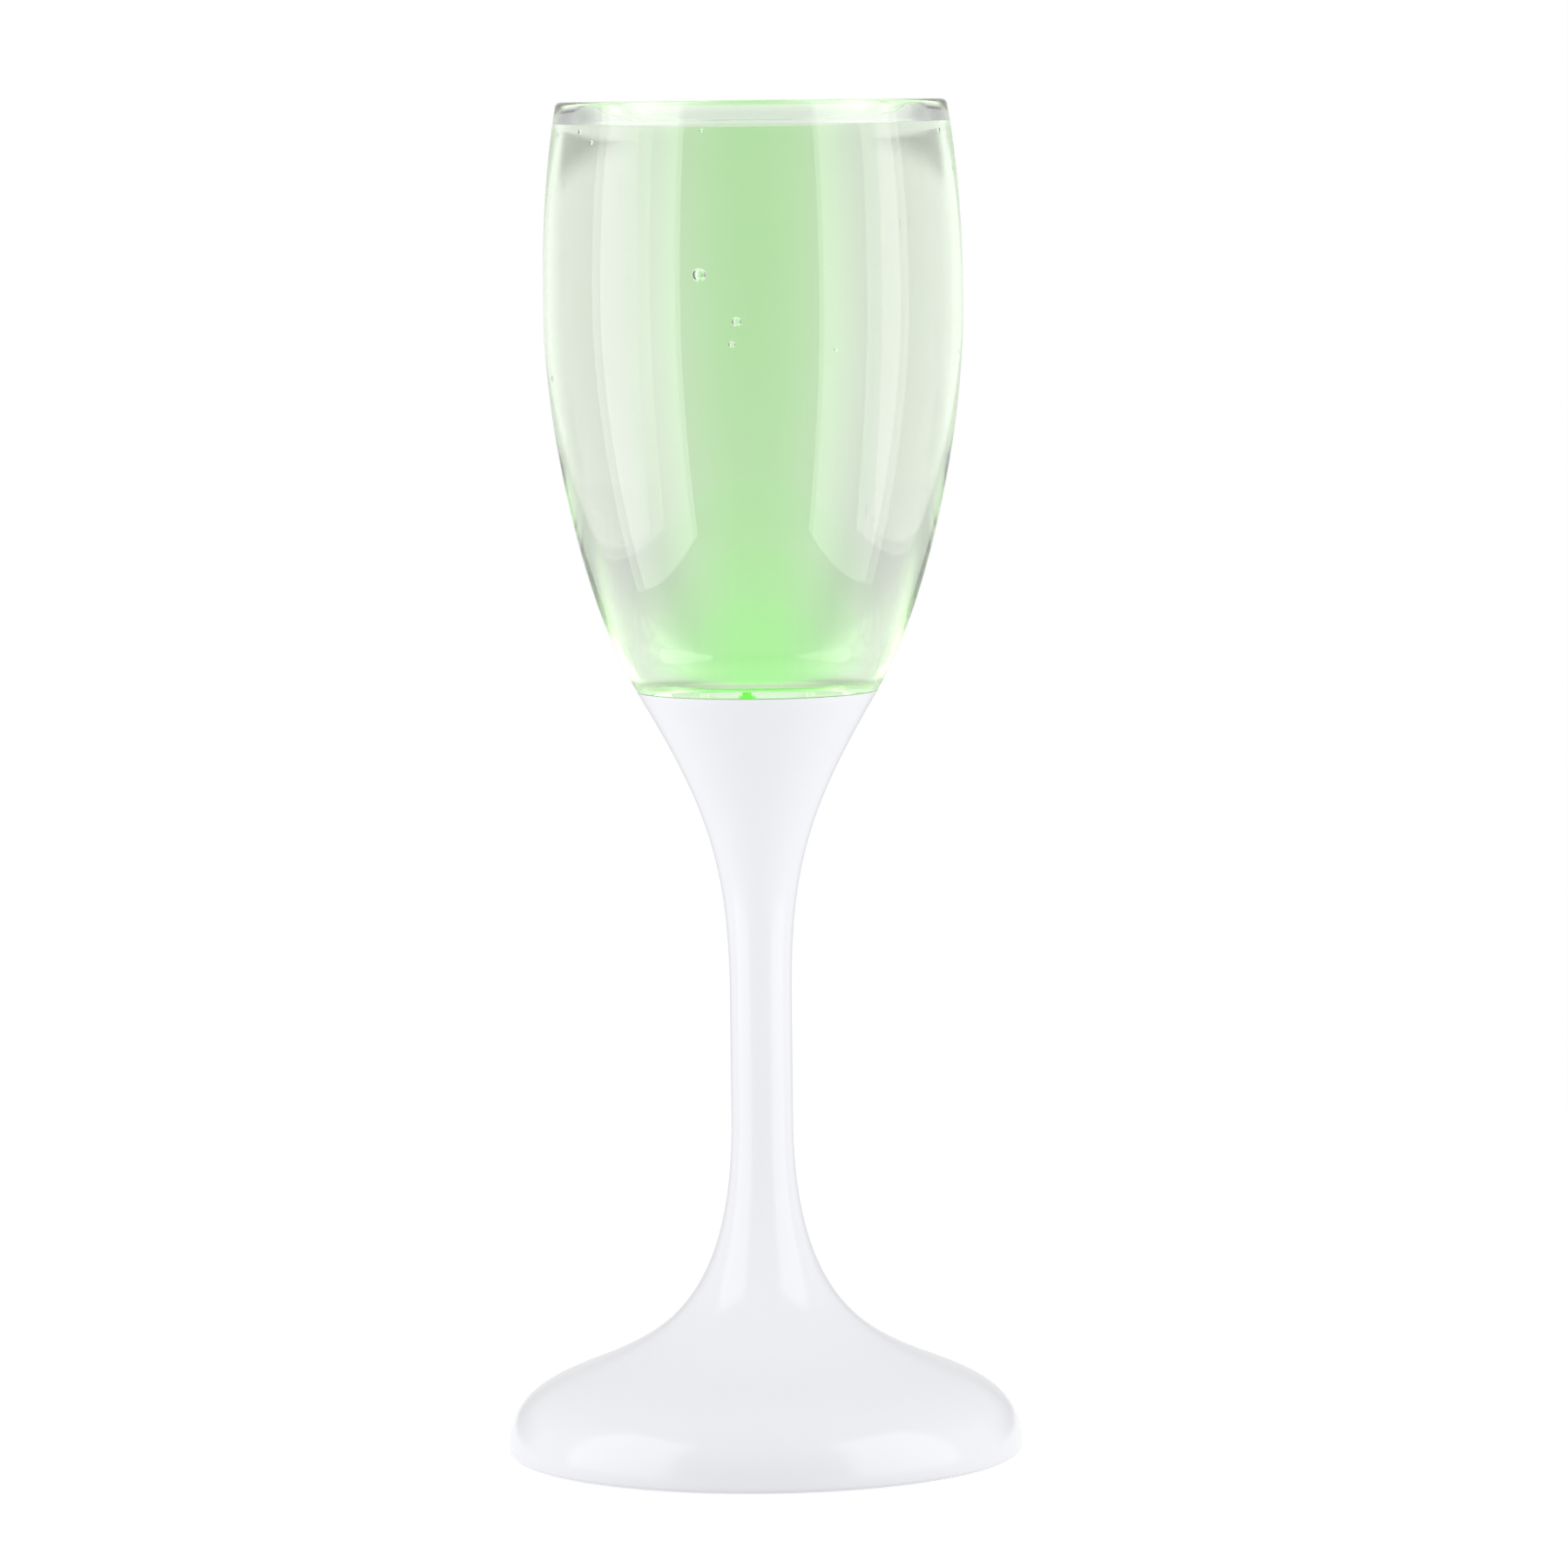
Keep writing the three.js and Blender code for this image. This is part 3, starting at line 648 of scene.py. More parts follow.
def makeGate(facts, cup):
    radius = facts["radius"]
    low = cup["seat"] - facts["drop"]
    top = cup["seat"] + facts["root"]
    waist = facts["waist"]
    edge = soften((0, low), (radius, low), (radius, top), facts["round"], 4)
    near, far = facts["neck"]
    neck = [(radius, low + near), (waist, low + far), (waist, top - far), (radius, top - near)]
    fixed = {"Transmission Weight": 0.3, "IOR": 1.5, "Emission Strength": 1.0}
    finish = makeFinish("gateMark", fixed, gatePaintedGlow)
    gate = turn("gateMark", [(0, low), *edge, *neck, (radius, top), (0, top)], finish, 40)
    gate.data.transform(Matrix.Translation((facts["aside"] * unit, 0, 0)))
    return gate


fit(makeGate(gateFacts, bowlFacts), "bowl", "clear_bowl")


# Drink, up to a little under the rim, with its green tint as painted lamp light and painted shade
drinkFacts = {
    "level": 206.3,
    "meniscus": 0.06,
    "meniscusRun": 0.6,
    "meniscusPull": (0.2, 0.5),
    "overlap": 0.12,  # into the bowl's wall, so that no air is left between them
    # painted green lamp light and painted shade, as a tint through the drink
    "color": (0.57, 0.97, 0.3),
    "density": 4.0,
    "sides": 180,
}


def drinkSkin(start, place):
    swirl = noise(start, place, 60, 2)
    return {"Base Color": mix(start, swirl, (0.985, 1, 0.985), (1, 1, 1))}


# A clear body with an even tint through its depth, which is painted green lamp light
def liquid(name, facts, bends, glow, skin):
    fixed = {"Transmission Weight": 1.0, "IOR": bends, "Roughness": 0.0, "Emission Strength": glow}
    material = makeFinish(name, fixed, skin)
    tree = material.node_tree
    sockets = {"Color": (*facts["color"], 1), "Density": facts["density"]}
    depth = Flow(tree).add("ShaderNodeVolumeAbsorption", sockets, "Volume")
    tree.links.new(depth.socket, tree.nodes["Material Output"].inputs["Volume"])
    return material


def makeDrink(facts, cup):
    side = bowlInside(cup, facts["overlap"])
    level = facts["level"]
    wet = [point for point in side if point.y < level]
    last = wet[-1]
    run = facts["meniscusRun"]
    top = Vector((last.x, level + facts["meniscus"]))
    flat = Vector((last.x - run, level))
    near, far = [Vector((last.x - run * pull, level)) for pull in facts["meniscusPull"]]
    curve = interpolate_bezier(top, near, far, flat, 9)
    outline = [(0, side[0].y), *wet, *curve, (0, level)]
    finish = liquid("clearDrink", facts, 1.333, 0.0, drinkSkin)
    return turn("drink", outline, finish, facts["sides"])


drink = fit(makeDrink(drinkFacts, bowlFacts), "bowl", None)
print("drink:", len(drink.data.polygons), "faces")


# The part of the drink that the lamp lights, a soft column over the floor's middle, painted as glowing
# tinted bodies
beamFacts = {
    "count": 7,
    "foot": 3,  # radius of the narrowest at the floor, then at the top
    "top": 5,
    "step": 1.7,  # wider with each next one
    "clear": 0.6,  # over the floor
    "under": 0.1,  # below the drink's level
    "inset": 0.04,
    "heel": 0.4,  # rise of the foot's round, and its pulls, in radii
    "heelPull": (0.6, 0.2),
    "sidePull": (20, 40),
    "glowFade": (0.119, 0.147),
    "color": (0.48, 0.79, 0.34),
    "density": 6.0,
    "sides": 64,
}

# Brighter pool of painted light over the floor, as nested domes
poolFacts = {
    "sizes": [(8, 14), (11, 22), (14, 32)],  # radius and height
    "spread": (0.5, 1),
    "pull": (0.45, 0.7),
    "clear": 0.4,  # over the beams' foot
    "inset": 0.05,
    "color": (0.3, 0.99, 0.1),
    "density": 5.0,
    "sides": 64,
}


# painted green lamp glow, brightest near the bowl's floor
def paintedBeamGlow(start, place):
    near = 1 - place.part("Z").step(*beamFacts["glowFade"])
    swirl = noise(start, place, 60, 2)
    lit = near * (0.9 + 0.2 * swirl)
    return {
        "Base Color": mix(start, swirl, (0.99, 1, 0.985), (1, 1, 1)),
        "Emission Color": mix(start, lit, (0.0, 0.0048, 0.0), (0.001, 0.0138, 0.0)),
    }


def makeBeams(facts, pool, cup, drinkLevel):
    floor = floorHeight(cup) + facts["clear"]
    level = drinkLevel - facts["under"]
    finish = liquid("litDrink", facts, 1.0, 1.0, paintedBeamGlow)
    leave, arrive = facts["heelPull"]
    sideLeave, sideArrive = facts["sidePull"]
    for index in range(facts["count"]):
        inset = facts["inset"] * (facts["count"] - index)
        low = floor + inset
        high = level - inset
        foot = facts["foot"] + facts["step"] * index
        top = facts["top"] + facts["step"] * index
        heel = (foot, low + foot * facts["heel"])
        start = bend((offAxis, low), (1, 0), foot * leave, heel, upright, foot * arrive, 12)
        side = bend(heel, upright, sideLeave, (top, high), upright, sideArrive, 30)
        outline = [(0, low), *start, *side[1:], (0, high)]
        fit(turn(f"beam{index + 1}", outline, finish, facts["sides"]), "bowl", None)
    glow = liquid("litPool", pool, 1.0, 1.0, paintedBeamGlow)
    sideLeave, topArrive = pool["pull"]
    for index, (radius, rise) in enumerate(pool["sizes"]):
        low = floor + pool["clear"] + pool["inset"] * index
        top = (offAxis, low + rise)
        leave = rise * sideLeave
        edge = bend((radius, low), pool["spread"], leave, top, (-1, 0), radius * topArrive, 24)
        outline = [(0, low), *edge, (0, low + rise)]
        fit(turn(f"pool{index + 1}", outline, glow, pool["sides"]), "bowl", None)


makeBeams(beamFacts, poolFacts, bowlFacts, drinkFacts["level"])
print("beams:", beamFacts["count"], "and pools:", len(poolFacts["sizes"]))


# Bubbles on the inner face of the wall: side from the front in degrees, height and width
bubbleFacts = {
    "places": [
        (-15.7, 183.9, 2.1),
        (-4.7, 176.9, 1.5),
        (-6.1, 173.5, 1.1),
        (-82, 168, 0.8),
        (-97, 185, 0.8),
        (-63, 205.2, 0.8),
        (-56, 203.6, 0.7),
        (-80, 204.6, 0.6),
        (-15, 205.4, 0.7),
        (84, 199, 0.6),
        (75, 204.9, 0.8),
        (128, 190, 0.6),
        (166, 172, 0.5),
        (-140, 178, 0.6),
    ],
    "clear": 0.15,  # from the wall
    "detail": 3,
}


def bubbleTree():
    tree, points = newTree("bubbles", ("Detail", "Int"))
    sockets = {"Radius": 0.5, "Subdivisions": points.other("Detail")}
    ball = points.add("GeometryNodeMeshIcoSphere", sockets, "Mesh")
    closeTree(points, onPoints(points, smoothFaces(ball), {"Scale": named(points, "width")}))
    return tree


# a faint painted glow that lightens the bubbles' outlines
def bubblePaintedGlow(start, place):
    film = noise(start, place, 900)
    return {
        "Base Color": mix(start, film, (0.97, 1, 0.97), (1, 1, 1)),
        "Emission Color": mix(start, film, (0.03, 0.05, 0.03), (0.06, 0.08, 0.06)),
    }


def makeBubbles(facts, cup):
    side = bowlInside(cup)
    mesh = bpy.data.meshes.new("bubbles")
    spots = []
    for angle, height, width in facts["places"]:
        wall = min(side, key=lambda point: abs(point.y - height)).x
        away = wall - width / 2 - facts["clear"]
        around = math.radians(angle)
        spots.append(Vector((away * math.sin(around), -away * math.cos(around), height)) * unit)
    mesh.from_pydata(spots, [], [])
    widths = mesh.attributes.new("width", "FLOAT", "POINT")
    widths.data.foreach_set("value", [width * unit for angle, height, width in facts["places"]])
    fixed = {"Transmission Weight": 1.0, "IOR": 0.75, "Roughness": 0.0, "Emission Strength": 1.0}
    finish = makeFinish("airBubble", fixed, bubblePaintedGlow)
    return bake("bubbles", mesh, bubbleTree(), {"Detail": facts["detail"], "Finish": finish})


fit(makeBubbles(bubbleFacts, bowlFacts), "bowl", None)
print("bubbles:", len(bubbleFacts["places"]))


# Stem: cup, hollow stem and domed foot in one moulding
stemFacts = {
    "seam": (18.7, 119),  # radius and height
    "seamWay": (0.6, 1),
    "seamPull": 20.4,
    "waistRadius": 4.8,
    "waistEnds": (52.7, 71.6),
    "waistPulls": (25.9, 20.6),
    "haunch": (22, 16.3),
    "haunchWay": (-2.03, 1),
    "haunchPulls": (9.9, 9.2),
    "edge": (40, 0.9),
    "edgeRun": 2.4,
    "edgePull": 10.2,
    "footWall": 2.2,
    "boreRadius": 3.3,
    "lipMouth": 17.4,  # the lip round the bowl's foot
    "lipFoot": 16.68,
    "seat": 117.8,
    "groove": (13.2, 116.1),
    "socket": (11.5, 109.6),
    "lampPocket": (7.3, 105.6),
    "funnel": (5.4, 96.6),
    "recessRadius": 35.8,
    "cavityRadius": 32.8,
    "ledge": 4,
    "lipRound": 0.12,
    "boreStep": 0.5,
    "threadEnds": (0.5, 0.6),  # short of the groove and of the floor
    "threadSteps": 40,
    "thread": (3.0, -0.6),  # pitch and depth, outwards
    "sides": 160,
    "bosses": {
        "radius": 3.3,
        "hole": 1.3,
        "point": 0.4,
        "round": 0.25,
        "sink": 0.6,  # into the ceiling
        "sides": 32,
        "places": [
            {"ring": 28.6, "low": 3.0, "tip": 8.8},
            {"ring": 20.4, "low": 10.6, "tip": 14.9},
        ],
    },
}


def footSide(facts):
    haunch = facts["haunch"]
    waist = (facts["waistRadius"], facts["waistEnds"][0])
    way = facts["haunchWay"]
    below, above = facts["haunchPulls"]
    shoulder = bend(facts["edge"], upright, facts["edgePull"], haunch, way, below, 26)
    sweep = bend(haunch, way, above, waist, upright, facts["waistPulls"][0], 34)
    return shoulder + sweep[1:]


# Under side of the foot's wall, from its edge up to the bore
def footCeiling(facts):
    line = setBack(footSide(facts), facts["footWall"])
    return [point for point in line if facts["boreRadius"] < point.x < facts["cavityRadius"]]


# A turned post, repeated on a ring
def postTree():
    tree, outline = newTree("posts", *ringInputs)
    closeTree(outline, onPoints(ringPoints(outline, 0.0), turnInside(outline, noThread)))
    return tree


# Screw bosses that hang from the foot's ceiling, each cut to its slope
def addBosses(stem, facts, ceiling, top):
    tree = postTree()
    outer = facts["radius"]
    hole = facts["hole"]
    for boss in facts["places"]:
        low = boss["low"]
        tip = boss["tip"]
        edge = soften((hole, low), (outer, low), (outer, top), facts["round"], 3)
        core = [(0, tip), (hole, tip - facts["point"]), (hole, low)]
        values = {
            **threeRound,
            "Sides": facts["sides"],
            "Ring Radius": boss["ring"] * unit,
            "Finish": finishes["white_shell"],
        }
        mesh = outlineMesh("posts", [*core, *edge, (outer, top), (0, top)])
        posts = bake("posts", mesh, tree, values)
        for vertex in posts.data.vertices:
            if vertex.co.z > (top - 0.1) * unit:
                away = vertex.co.xy.length / unit
                over = min(ceiling, key=lambda point: abs(point.x - away))
                vertex.co.z = (over.y + facts["sink"]) * unit
        weldOn(stem, posts.data)  # takes the posts away with their mesh


def makeStem(facts):
    waist = (facts["waistRadius"], facts["waistEnds"][1])
    seam = facts["seam"]
    leave = facts["waistPulls"][1]
    cup = bend(waist, upright, leave, seam, facts["seamWay"], facts["seamPull"], 32)
    outer, rise = facts["edge"]
    heel = Vector((outer - facts["edgeRun"], 0))
    edge = roundOff(heel, Vector((outer, 0)), Vector((outer, rise)), 8)
    mouth = (facts["lipMouth"], seam[1])
    lip = soften(cup[-2], seam, mouth, facts["lipRound"], 3)
    seat = facts["seat"]
    groove, grooveFloor = facts["groove"]
    socket, socketFloor = facts["socket"]
    pocket, pocketFloor = facts["lampPocket"]
    funnel, funnelEnd = facts["funnel"]
    bore = facts["boreRadius"]
    below, above = facts["threadEnds"]
    ends = ((socket, grooveFloor - below), (socket, socketFloor + above))
    thread = straight(*ends, facts["threadSteps"])
    head = [(facts["recessRadius"], 0), *edge, *footSide(facts)[1:], *cup[:-1], *lip, mouth]
    head += [(facts["lipFoot"], seat), (groove, seat), (groove, grooveFloor), (socket, grooveFloor)]
    dome = footCeiling(facts)
    outline = [
        *head,
        *thread,
        (socket, socketFloor),
        (pocket, socketFloor),
        (pocket, pocketFloor),
        (funnel, pocketFloor),
        (bore, funnelEnd),
        (bore, dome[-1].y + facts["boreStep"]),
        *reversed(dome),
        (facts["cavityRadius"], dome[0].y),
        (facts["cavityRadius"], facts["ledge"]),
        (facts["recessRadius"], facts["ledge"]),
        (facts["recessRadius"], 0),
    ]
    threaded = range(len(head) + 2, len(head) + len(thread) - 2)
    finish = finishes["white_shell"]
    stem = turn("stemShell", outline, finish, facts["sides"], threaded, *facts["thread"])
    addBosses(stem, facts["bosses"], dome, facts["haunch"][1])
    return stem


stem = fit(makeStem(stemFacts), "stem", "white_shell", "stem_shell")
print("stem:", len(stem.data.polygons), "faces")


# Lamp under the bowl's floor, lit green, and the dish round it with painted green lamp light
lampFacts = {
    "boardTop": 106.6,
    "radius": 2.5,
    "height": 8.6,
    "flange": (2.9, 1),
    "flangeRound": 0.25,
    "leadWidth": 0.5,
    "leadPitch": 1.27,
    "leadEnd": 104.8,
    "leadTop": 0.5,  # over the board
    "litFrom": (0.1085, 0.111),
}

dishFacts = {
    "hole": 3.2,
    "bottom": 109.6,
    "plate": 1.2,
    "plateRadius": 11.2,
    "skirt": (7, 106.6),
    "wall": 1.2,
    "rim": (8.9, 116.5),
    "litFrom": (0.1095, 0.1175),
}


def boxes(sizes):
    shape = bmesh.new()
    for low, high in sizes:
        middle = (Vector(low) + Vector(high)) / 2 * unit
        span = (Vector(high) - Vector(low)) * unit
        place = Matrix.Translation(middle) @ Matrix.Diagonal((*span, 1))
        bmesh.ops.create_cube(shape, size=1, matrix=place)
    return meshOf("boxes", shape)


def lampGlow(start, place):
    lit = place.part("Z").step(*lampFacts["litFrom"])
    haze = noise(start, place, 700, 2)
    return {
        "Base Color": mix(start, haze, (0.7, 0.95, 0.68), (0.8, 1, 0.78)),
        "Roughness": 0.05 + 0.1 * haze,
        "Emission Color": mix(start, lit, (0.05, 0.3, 0.04), (0.3, 1.0, 0.22)),
    }


def makeLamp(facts):
    low = facts["boardTop"]
    flange, thick = facts["flange"]
    flangeTop = low + thick
    radius = facts["radius"]
    shoulder = low + facts["height"] - radius
    outline = [
        (0, low),
        (flange, low),
        *soften((flange, low), (flange, flangeTop), (radius, flangeTop), facts["flangeRound"], 3),
        (radius, flangeTop),
        *arc(0, shoulder, radius, [index * fullTurn / 48 for index in range(12)]),
        (0, shoulder + radius),
    ]
    fixed = {"Transmission Weight": 0.5, "IOR": 1.5, "Emission Strength": 3.0}
    lamp = turn("lamp", outline, makeFinish("lampResin", fixed, lampGlow), 48)
    half = facts["leadWidth"] / 2
    top = low + facts["leadTop"]
    places = [step * facts["leadPitch"] for step in (-1.5, -0.5, 0.5, 1.5)]
    leads = boxes([((x - half, -half, facts["leadEnd"]), (x + half, half, top)) for x in places])
    weldOn(lamp, leads, finishes["contact_nickel"])
    return lamp


# painted green lamp light on the dish, stronger towards its rim
def dishPaintedGlow(start, place):
    lit = place.part("Z").step(*dishFacts["litFrom"])
    cloud = noise(start, place, 400)
    return {
        "Base Color": mix(start, cloud, (0.83, 0.86, 0.83), (0.88, 0.9, 0.88)),
        "Roughness": 0.2 + 0.1 * noise(start, place, 160),
        "Emission Color": mix(start, lit, (0.03, 0.2, 0.02), (0.3, 0.8, 0.22)),
    }


def makeDish(facts):
    bottom = facts["bottom"]
    plateTop = bottom + facts["plate"]
    hole = facts["hole"]
    wall = facts["wall"]
    skirt, skirtEnd = facts["skirt"]
    rim, top = facts["rim"]
    outline = [
        (hole, bottom),
        (skirt - wall, bottom),
        (skirt - wall, skirtEnd),
        (skirt, skirtEnd),
        (skirt, bottom),
        (facts["plateRadius"], bottom),
        (facts["plateRadius"], plateTop),
        (hole + wall, plateTop),
        (rim, top),
        (rim - wall, top),
        (hole, plateTop),
        (hole, bottom),
    ]
    finish = makeFinish("dishWhite", {"Emission Strength": 1.0}, dishPaintedGlow)
    return turn("lampDish", outline, finish, 72)


fit(makeLamp(lampFacts), "stem", "lamp_resin", "led")
fit(makeDish(dishFacts), "stem", "reflector_white", "led_reflector")
print("lamp and dish made")


# Sealing ring under the bowl's seat
sealFacts = {"ring": 12.1, "section": 0.8, "middle": 117}


def makeSeal(facts):
    angles = [index * fullTurn / 20 for index in range(21)]
    outline = arc(facts["ring"], facts["middle"], facts["section"], angles)
    return turn("bowlSeal", outline, finishes["clear_silicone"], 120)


fit(makeSeal(sealFacts), "seal", "clear_silicone", "bowl_seal")


# Push button in the middle of the underside
buttonFacts = {
    "radius": 4,
    "face": 0.7,
    "dish": 0.35,
    "brim": (0.7, 0.04),  # inside the edge, and over the face
    "edge": 0.45,
    "flange": 3.3,
    "flangeRadius": 5.6,
    "flangeHeight": 0.9,
    "flangeRound": 0.2,
    "post": (2, 5.6),
}


def makeButton(facts):
    radius = facts["radius"]
    face = facts["face"]
    flange = facts["flange"]
    shelf = flange + facts["flangeHeight"]
    wide = facts["flangeRadius"]
    inset, rise = facts["brim"]
    middle = (0, face + facts["dish"])
    brim = (radius - inset, face + rise)
    side = (radius, face + facts["edge"])
    outline = [
        *bend(middle, (1, 0), radius * 0.5, brim, (1, -0.2), radius * 0.2, 12),
        *bend(brim, (1, -0.1), 0.25, side, upright, 0.25, 6)[1:],
        (radius, flange),
        (wide, flange),
        *soften((wide, flange), (wide, shelf), (0, shelf), facts["flangeRound"], 3),
        (facts["post"][0], shelf),
        facts["post"],
        (0, facts["post"][1]),
    ]
    return turn("pushButton", outline, finishes["button_plastic"], 72)


fit(makeButton(buttonFacts), "button", "button_plastic", "push_button")


# Turned plate with screw holes, each with a seat for the head
def plateTree():
    sizes = floats("Seat Radius", "Seat Top", "Hole Radius", "Plate Top")
    tree, outline = newTree("screwedPlate", *ringInputs, *sizes)
    plate = turnInside(outline, noThread)
    through = outline.other("Plate Top") + 0.002  # the drill goes past the plate
    for radius, top in (("Seat Radius", outline.other("Seat Top")), ("Hole Radius", through)):
        rod = {"Vertices": 40, "Radius": outline.other(radius), "Depth": top * 2}
        drill = outline.add("GeometryNodeMeshCylinder", rod, "Mesh")
        plate = cutAway(plate, realize(onPoints(ringPoints(outline, 0.0), drill)))
    closeTree(outline, smoothShade(plate))
    return tree


coverFacts = {
    "radius": 35.5,
    "hole": 4.3,
    "bottom": 1,
    "top": 3,
    "edge": 0.35,
    "holes": {
        **threeRound,
        "Sides": 140,
        "Ring Radius": 0.0286,
        "Seat Radius": 0.0024,
        "Seat Top": 0.002,
        "Hole Radius": 0.0013,
        "Plate Top": 0.003,
    },
}


def makeCover(facts):
    low = facts["bottom"]
    top = facts["top"]
    outer = facts["radius"]
    hole = facts["hole"]
    edge = facts["edge"]
    outline = [
        (hole, top),
        *soften((hole, top), (hole, low), (outer, low), edge, 5),
        *soften((hole, low), (outer, low), (outer, top), edge, 5),
        (outer, top),
        (hole, top),
    ]
    values = {**facts["holes"], "Finish": finishes["cover_plastic"]}
    return bake("baseCover", outlineMesh("baseCover", outline), plateTree(), values)


cover = fit(makeCover(coverFacts), "stem", "cover_plastic", "base_cover")
print("cover:", len(cover.data.polygons), "faces")


# Screws with a thread and a crossed recess, set in a ring
def screwTree():
    sizes = floats("Height", "Thread Pitch", "Thread Depth")
    slots = floats("Slot Length", "Slot Width", "Slot Depth", "Head Height")
    tree, outline = newTree("screws", *ringInputs, *sizes, *slots, ("Seed", "Int"))
    screw = turnInside(outline, {name: outline.other(name) for name in ("Thread Pitch", "Thread Depth")})
    across = outline.other("Slot Length")
    wide = outline.other("Slot Width")
    deep = outline.other("Slot Depth") * 2
    lower = outline.add("ShaderNodeCombineXYZ", {"Z": 0 - outline.other("Head Height")})
    for length, width in ((across, wide), (wide, across)):
        size = outline.add("ShaderNodeCombineXYZ", {"X": length, "Y": width, "Z": deep})
        bar = outline.add("GeometryNodeMeshCube", {"Size": size}, "Mesh")
        slot = outline.add("GeometryNodeTransform", {"Geometry": bar, "Translation": lower})
        screw = cutAway(screw, slot)
    spots = ringPoints(outline, outline.other("Height"))
    chance = {"Min": (0, 0, 0), "Max": (0, 0, fullTurn), "Seed": outline.other("Seed")}
    twist = outline.add("FunctionNodeRandomValue", chance, "Value", data_type="FLOAT_VECTOR")
    closeTree(outline, onPoints(spots, smoothShade(screw), {"Rotation": twist}))
    return tree


screws = screwTree()
screwFacts = {
    "headRadius": 2.1,
    "headHeight": 1,
    "headEdge": 0.05,
    "crown": 0.35,  # share of the head's height
    "radius": 1.1,
    "neck": 0.3,
    "point": (0.15, 0.05),
    "sizes": {
        "Thread Pitch": 0.0009,
        "Thread Depth": 0.00028,
        "Slot Length": 0.0023,
        "Slot Width": 0.00055,
        "Slot Depth": 0.0006,
    },
    "sides": 28,
    "coverScrews": {"length": 6.5, "ring": 28.6, "height": 2, "seed": 3},
    "trayScrews": {"length": 5.6, "ring": 20.4, "height": 9, "seed": 8},
}


def makeScrews(name, facts, place):
    head = facts["headRadius"]
    rise = facts["headHeight"]
    edge = facts["headEdge"]
    radius = facts["radius"]
    length = place["length"]
    low = rise * facts["crown"]
    crown = bend((offAxis, -rise), (1, 0), head * 0.5, (head, -low), upright, low, 8)
    shank = straight((radius, facts["neck"]), (radius, length - radius), 48)
    start = [(0, -rise), *crown, (head, -edge), (head - edge, 0), (radius, 0)]
    blunt, back = facts["point"]
    outline = [*start, *shank, (blunt, length - back), (0, length)]
    values = {
        **threeRound,
        **facts["sizes"],
        "Sides": facts["sides"],
        "Ring Radius": place["ring"] * unit,
        "Height": place["height"] * unit,
        "Head Height": rise * unit,
        "Seed": place["seed"],
        "Finish": finishes["screw_steel"],
    }
    threaded = range(len(start) + 2, len(start) + len(shank) - 1)
    return bake(name, outlineMesh(name, outline, threaded), screws, values)


for name, node in (("coverScrews", "cover_screw"), ("trayScrews", "tray_screw")):
    made = makeScrews(name, screwFacts, screwFacts[name])
    fit(made, "stem", "screw_steel", *[f"{node}_{index}" for index in (1, 2, 3)])
print("screws set")


# CAD nodes that stay, by their finish
carried = {
    "board_laminate": ["led_board", "circuit_board"],
    "wire_black": ["wire_common"],
    "wire_red": ["wire_red"],
    "wire_green": ["wire_green"],
    "wire_blue": ["wire_blue"],
    "tray_plastic": ["battery_tray"],
    "cell_steel": ["cell_1", "cell_2", "cell_3"],
    "contact_nickel": ["contact_positive", "contact_negative", "link_bottom", "link_top"],
    "chip_black": ["control_chip", "resistor_red", "resistor_green", "resistor_blue"],
    "switch_black": ["tact_switch", "tact_plunger"],
    "seal_grey": ["base_seal"],
}

for finish, names in carried.items():
    for name in names:
        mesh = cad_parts[name].data
        mesh.materials.clear()
        mesh.materials.append(finishes[finish])
print("carried nodes:", sum(len(names) for names in carried.values()))


# Floor
floorFacts = {
    "radius": 0.6,
    "color": 0.9,
    "lift": 0.34,
    "liftInGlass": 0.3,
    "liftAway": 0.2,
    "awayFrom": (0.12, 0.3),
    "fadeFrom": (0.18, 0.5),
}


def seenWhite(start):
    ray = start.add("ShaderNodeLightPath", out="Is Camera Ray")
    seen = start.sum("MAXIMUM", ray, ray.other("Is Glossy Ray"))
    return start.sum("MAXIMUM", seen, ray.other("Is Transmission Ray"))


# A material with an empty tree, and a flow on it
def bareMaterial(name):
    material = bpy.data.materials.new(name)
    material.use_nodes = True
    material.node_tree.nodes.clear()
    return material, Flow(material.node_tree)


# The two shaders mixed on a mesh that is only there for the picture
def stageMesh(name, shape, material, start, factor, first, second):
    whole = start.add("ShaderNodeMixShader", {0: factor, 1: first, 2: second})
    start.add("ShaderNodeOutputMaterial", {"Surface": whole})
    mesh = meshOf(name, shape)
    mesh.materials.append(material)
    piece = addObject(name, mesh)
    piece.visible_diffuse = False  # throws neither light nor shadow on the part
    piece.visible_shadow = False
    return piece


def makeFloor(facts):
    material, start = bareMaterial("paleFloor")
    place = start.add("ShaderNodeTexCoord", out="Object")
    away = start.add("ShaderNodeVectorMath", {0: place}, "Value", operation="LENGTH")
    tone = facts["color"] - 0.02 * noise(start, place, 8)
    pale = start.add("ShaderNodeBsdfDiffuse", {"Color": tone}, "BSDF")
    front = start.add("ShaderNodeLightPath", out="Is Camera Ray")
    rise = front * (facts["lift"] - facts["liftInGlass"]) + seenWhite(start) * facts["liftInGlass"]
    rise = rise + front * facts["liftAway"] * away.step(*facts["awayFrom"])
    lift = start.add("ShaderNodeEmission", {"Strength": rise}, "Emission")
    lit = start.add("ShaderNodeAddShader", {0: pale, 1: lift})
    none = start.add("ShaderNodeBsdfTransparent")
    under = start.add("ShaderNodeNewGeometry", out="Backfacing")  # open from below
    fade = start.sum("MAXIMUM", away.step(*facts["fadeFrom"]), under)
    shape = bmesh.new()
    bmesh.ops.create_circle(shape, cap_ends=True, segments=96, radius=facts["radius"])
    floor = stageMesh("floor", shape, material, start, fade, lit, none)


makeFloor(floorFacts)


